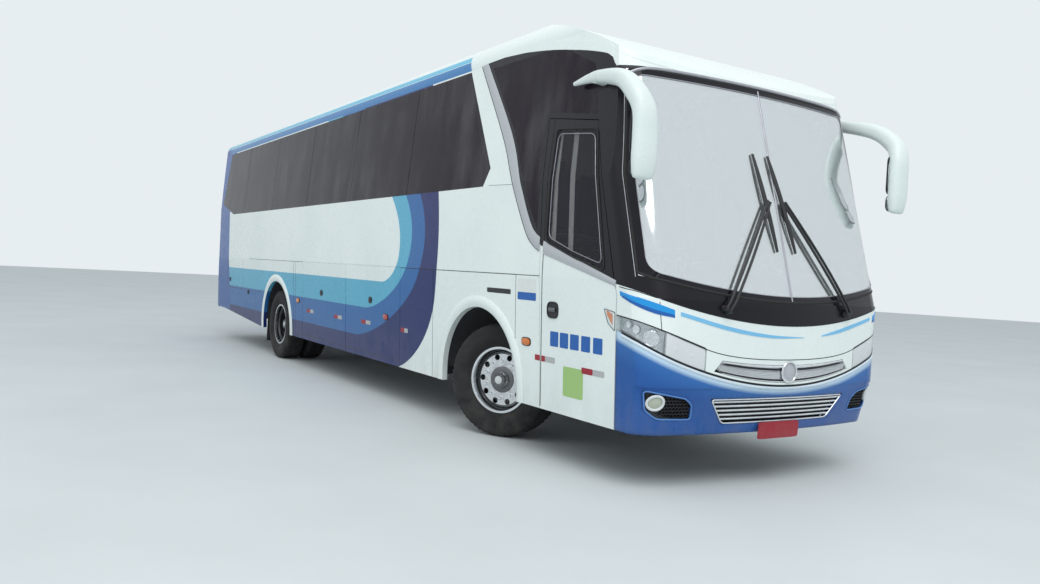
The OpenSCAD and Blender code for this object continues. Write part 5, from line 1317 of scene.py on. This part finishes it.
def buildRear():
    # lamp clusters, blank plate, bumper roll, window rubber, louvres on both corners
    rear = dict(lamp=(1.04, 1.10), lampHalf=(0.104, 0.214),
                rounds=[(1.245, "red"), (1.10, "amber"), (0.955, "clear")], louvreY=(1.16, 1.284),
                louvreZ=(2.02, 2.40, 0.035), louvre=0.022, bumperY=1.235, bumperZ=(0.565, 0.69),
                window=((0, 2.75), (0.952, 0.402)), plate=((0.0, 0.628), (0.2, 0.05)), backY=0.566,
                backZ=(0.80, 1.25, 0.06), topLamp=(0.75, 3.255))
    cases, louvres, lenses = [], [], dict(red=[], amber=[], clear=[])

    def level(y0, y1, z):
        return [(y0, z), (y1, z)]

    for side in (-1, 1):
        y, z = rear["lamp"]
        cases.append(bead(rearSurface, corners((side * y, z), rear["lampHalf"]), 0.007, 0.05, 120, 0.007))
        for z, look in rear["rounds"]:
            at = (side * y, z)
            lenses[look].append(boss(rearSurface, at, (0.072, 0.062), 0.006, 0.011, 0.006, 2.6, 40, 7))
        y0, y1 = (side * y for y in rear["louvreY"])
        for z in np.arange(*rear["louvreZ"]):
            lines = level(y0, y1, z), level(y0, y1, z + rear["louvre"])
            louvres.append(band(rearSurface, *lines, -0.002, 0.001, 14, 5, 0.007, False))
    makePiece("tailLampFrames", cases, "chrome")
    for look, parts in lenses.items():
        makePiece("tailLens_" + look, parts, look)
    makePiece("cornerLouvres", louvres, "plastic", sharp=50)
    y = np.linspace(-rear["bumperY"], rear["bumperY"], 160)
    foot, top = (np.stack([y, 0 * y + z], -1) for z in rear["bumperZ"])
    roll = band(rearSurface, foot, top, -0.002, 0.0, 160, 9, 0.009, False)
    rubber = bead(rearSurface, corners(*rear["window"]), 0.009, 0.08, 240, 0.001)
    makePiece("rearBumperRoll", [roll], "royal", sharp=60)
    makePiece("rearWindowBead", [rubber], "rubber")
    makePiece("rearPlate", [boss(rearSurface, *rear["plate"], 0.006, 0.0105, 0.0, 12, 48)], "plate", sharp=40)
    half, slats = rear["backY"], []
    for z in np.arange(*rear["backZ"]):
        lines = level(-half, half, z - 0.004), level(-half, half, z + 0.026)
        slats.append(band(rearSurface, *lines, -0.05, -0.046, 30, 3))
    makePiece("engineDoorBacks", slats, "plastic", "engine_door")
    y, z = rear["topLamp"]
    lamps = [boss(rearSurface, (side * y, z), (0.05, 0.018), -0.001, 0.004, 0.008, 3, 30) for side in (-1, 1)]
    makePiece("rearTopLamps", lamps, "red")


def buildRoofUnit():
    # four fan openings with guard rings and spokes over dark wells
    unit = dict(z=3.762, fan=0.235, fanY=0.36, x=(-1.72, -1.0),
                guards=((1.0, 0.009), (0.66, 0.004), (0.33, 0.004)), spokes=12, spokeFrom=0.03, boss=0.04)

    def flat(u, v, off):
        return np.stack(np.broadcast_arrays(u, v, unit["z"] - 0.004 + off), -1)

    rings, wells = [], []
    for x in unit["x"]:
        for y in (-unit["fanY"], unit["fanY"]):
            for share, thick in unit["guards"]:
                rings.append(ring(flat, (x, y), unit["fan"] * share, thick, 0.006, 56))
            wells.append(boss(flat, (x, y), (unit["fan"] - 0.004,) * 2, 0.0, 0.005, 0.0, 2, 48))
            for k in range(unit["spokes"]):
                c, z = 2 * math.pi * k / unit["spokes"], unit["z"] + 0.002
                reach = unit["spokeFrom"], unit["fan"]
                ray = [[x + r * math.cos(c), y + r * math.sin(c), z] for r in reach]
                rings.append(tube(ray, 0.004, 6))
            rings.append(boss(flat, (x, y), (unit["boss"],) * 2, 0.0, 0.008, 0.004, 2, 24))
    makePiece("roofFanRings", rings, "housing")
    makePiece("roofFanWells", wells, "plastic")


def bellows(x, y, z0, z1, r):
    # air spring of three rubber lobes
    t = np.linspace(0, 1, 31)
    lobes = r * (0.84 + 0.15 * np.abs(np.sin(3 * math.pi * t)) ** 0.6)
    profile = np.vstack([[(0, z0)], np.stack([lobes, z0 + (z1 - z0) * t], -1), [(0, z1)]])
    return revolve(profile, (x, y, 0), (0, 0, 1), 40)


def buildUnderside():
    # rubber bellows over the axles, mud flaps behind the rear wheels
    under = dict(springY=0.43, front=(0.577, 0.639, 0.094), rear=(0.462, 0.638, 0.109), rearDx=0.38,
                 flapX=0.60, flapY=(0.72, 1.22), flapZ=(0.20, 0.83))
    springs, flaps = [], []
    for side in (-1, 1):
        y = side * under["springY"]
        springs.append(bellows(body["frontAxle"], y, *under["front"]))
        for dx in (-under["rearDx"], under["rearDx"]):
            springs.append(bellows(body["rearAxle"] + dx, y, *under["rear"]))
        flat = flatSurface(body["rearAxle"] - under["flapX"], 0.04, 0.9, -1)
        foot, top = ([(side * y, z) for y in under["flapY"]] for z in under["flapZ"])
        flaps.append(band(flat, foot, top, 0.0, 0.008, 12, 10, 0.004, False))
    makePiece("airBellows", springs, "rubber", sharp=60, replaces=("air_springs",))
    makePiece("mudFlaps", flaps, "rubber", sharp=50)


buildSideTrim()
buildSideDetails()
buildDoor()
print("sides ready")
buildFrontPanel()
buildScreen()
buildWipers()
buildHeadlamps()
buildFogLamps()
buildUpperGrille()
buildLowerGrille()
buildMirrors()
print("front ready")
buildWheels()
buildUnderside()
print("wheels ready")
buildSeats()
print("seats ready")
buildRear()
buildRoofUnit()
print("rear and roof ready")

# Camera from the solved view
view = dict(at=(10.5681, -5.1367, 1.4849), yaw=0.5649, pitch=-0.0226, roll=0.0544, lens=29.77)
yaw, pitch, roll = view["yaw"], view["pitch"], view["roll"]
ahead = Vector((-math.cos(yaw) * math.cos(pitch), math.sin(yaw) * math.cos(pitch), math.sin(pitch)))
right = Vector((math.sin(yaw), math.cos(yaw), 0))
up = right.cross(ahead)
right, up = math.cos(roll) * right + math.sin(roll) * up, -math.sin(roll) * right + math.cos(roll) * up
camera = bpy.data.objects.new("camera", bpy.data.cameras.new("camera"))
bpy.context.scene.collection.objects.link(camera)
camera.matrix_world = Matrix((right, up, -ahead)).transposed().to_4x4()
camera.location = view["at"]
camera.data.lens, camera.data.sensor_width = view["lens"], 36
camera.data.clip_start, camera.data.clip_end = 0.05, 400
bpy.context.scene.camera = camera


def studio():
    # pale round floor, pale world seen by camera and gloss, a large soft lamp ahead of the door side and a
    # weaker one beside it; a lamp has its place, aim, size and power
    values = dict(size=60, floor=(0.62, 0.66, 0.67), world=(0.80, 0.85, 0.88), strength=0.85,
                  lamps=dict(keyLamp=((17, -8, 20), (3, 0, 1), 20, 3200),
                             fillLamp=((2, -20, 14), (0, 0, 1.5), 16, 300)))
    floorMesh = bpy.data.meshes.new("floor")
    a = np.linspace(0, 2 * math.pi, 96, endpoint=False)
    rim = np.stack([values["size"] * np.cos(a), values["size"] * np.sin(a), 0 * a - 0.001], -1)
    floorMesh.from_pydata(rim.tolist(), [], [list(range(96))])
    floor = bpy.data.objects.new("studioFloor", floorMesh)
    bpy.context.scene.collection.objects.link(floor)
    net = Net("floorPaint")
    shade = tuple(0.93 * c for c in values["floor"])
    net.finish(net.mix(net.span(net.noise(0.6, 6), 0.3, 0.7), (*values["floor"], 1), shade), 0.75)
    floorMesh.materials.append(net.material)
    world = bpy.data.worlds.new("studioWorld")
    world.use_nodes = True
    back = world.node_tree.nodes["Background"]
    back.inputs["Color"].default_value = (*values["world"], 1)
    path = world.node_tree.nodes.new("ShaderNodeLightPath")
    mixer = world.node_tree.nodes.new("ShaderNodeMapRange")
    seen = path.outputs["Is Camera Ray"]
    for kind in ("Is Glossy Ray", "Is Transmission Ray"):
        either = world.node_tree.nodes.new("ShaderNodeMath")
        either.operation = "MAXIMUM"
        world.node_tree.links.new(seen, either.inputs[0])
        world.node_tree.links.new(path.outputs[kind], either.inputs[1])
        seen = either.outputs[0]
    world.node_tree.links.new(seen, mixer.inputs[0])
    mixer.inputs["To Min"].default_value = values["strength"]
    mixer.inputs["To Max"].default_value = 1.0
    world.node_tree.links.new(mixer.outputs[0], back.inputs["Strength"])
    bpy.context.scene.world = world
    for name, (at, aim, size, power) in values["lamps"].items():
        lamp = bpy.data.objects.new(name, bpy.data.lights.new(name, "AREA"))
        lamp.data.shape, lamp.data.size, lamp.data.energy = "DISK", size, power
        lamp.location = at
        lamp.rotation_mode = "QUATERNION"
        lamp.rotation_quaternion = (Vector(aim) - Vector(at)).to_track_quat("-Z", "Y")
        bpy.context.scene.collection.objects.link(lamp)


studio()
bpy.context.scene.view_settings.view_transform = "Standard"
print("studio ready")
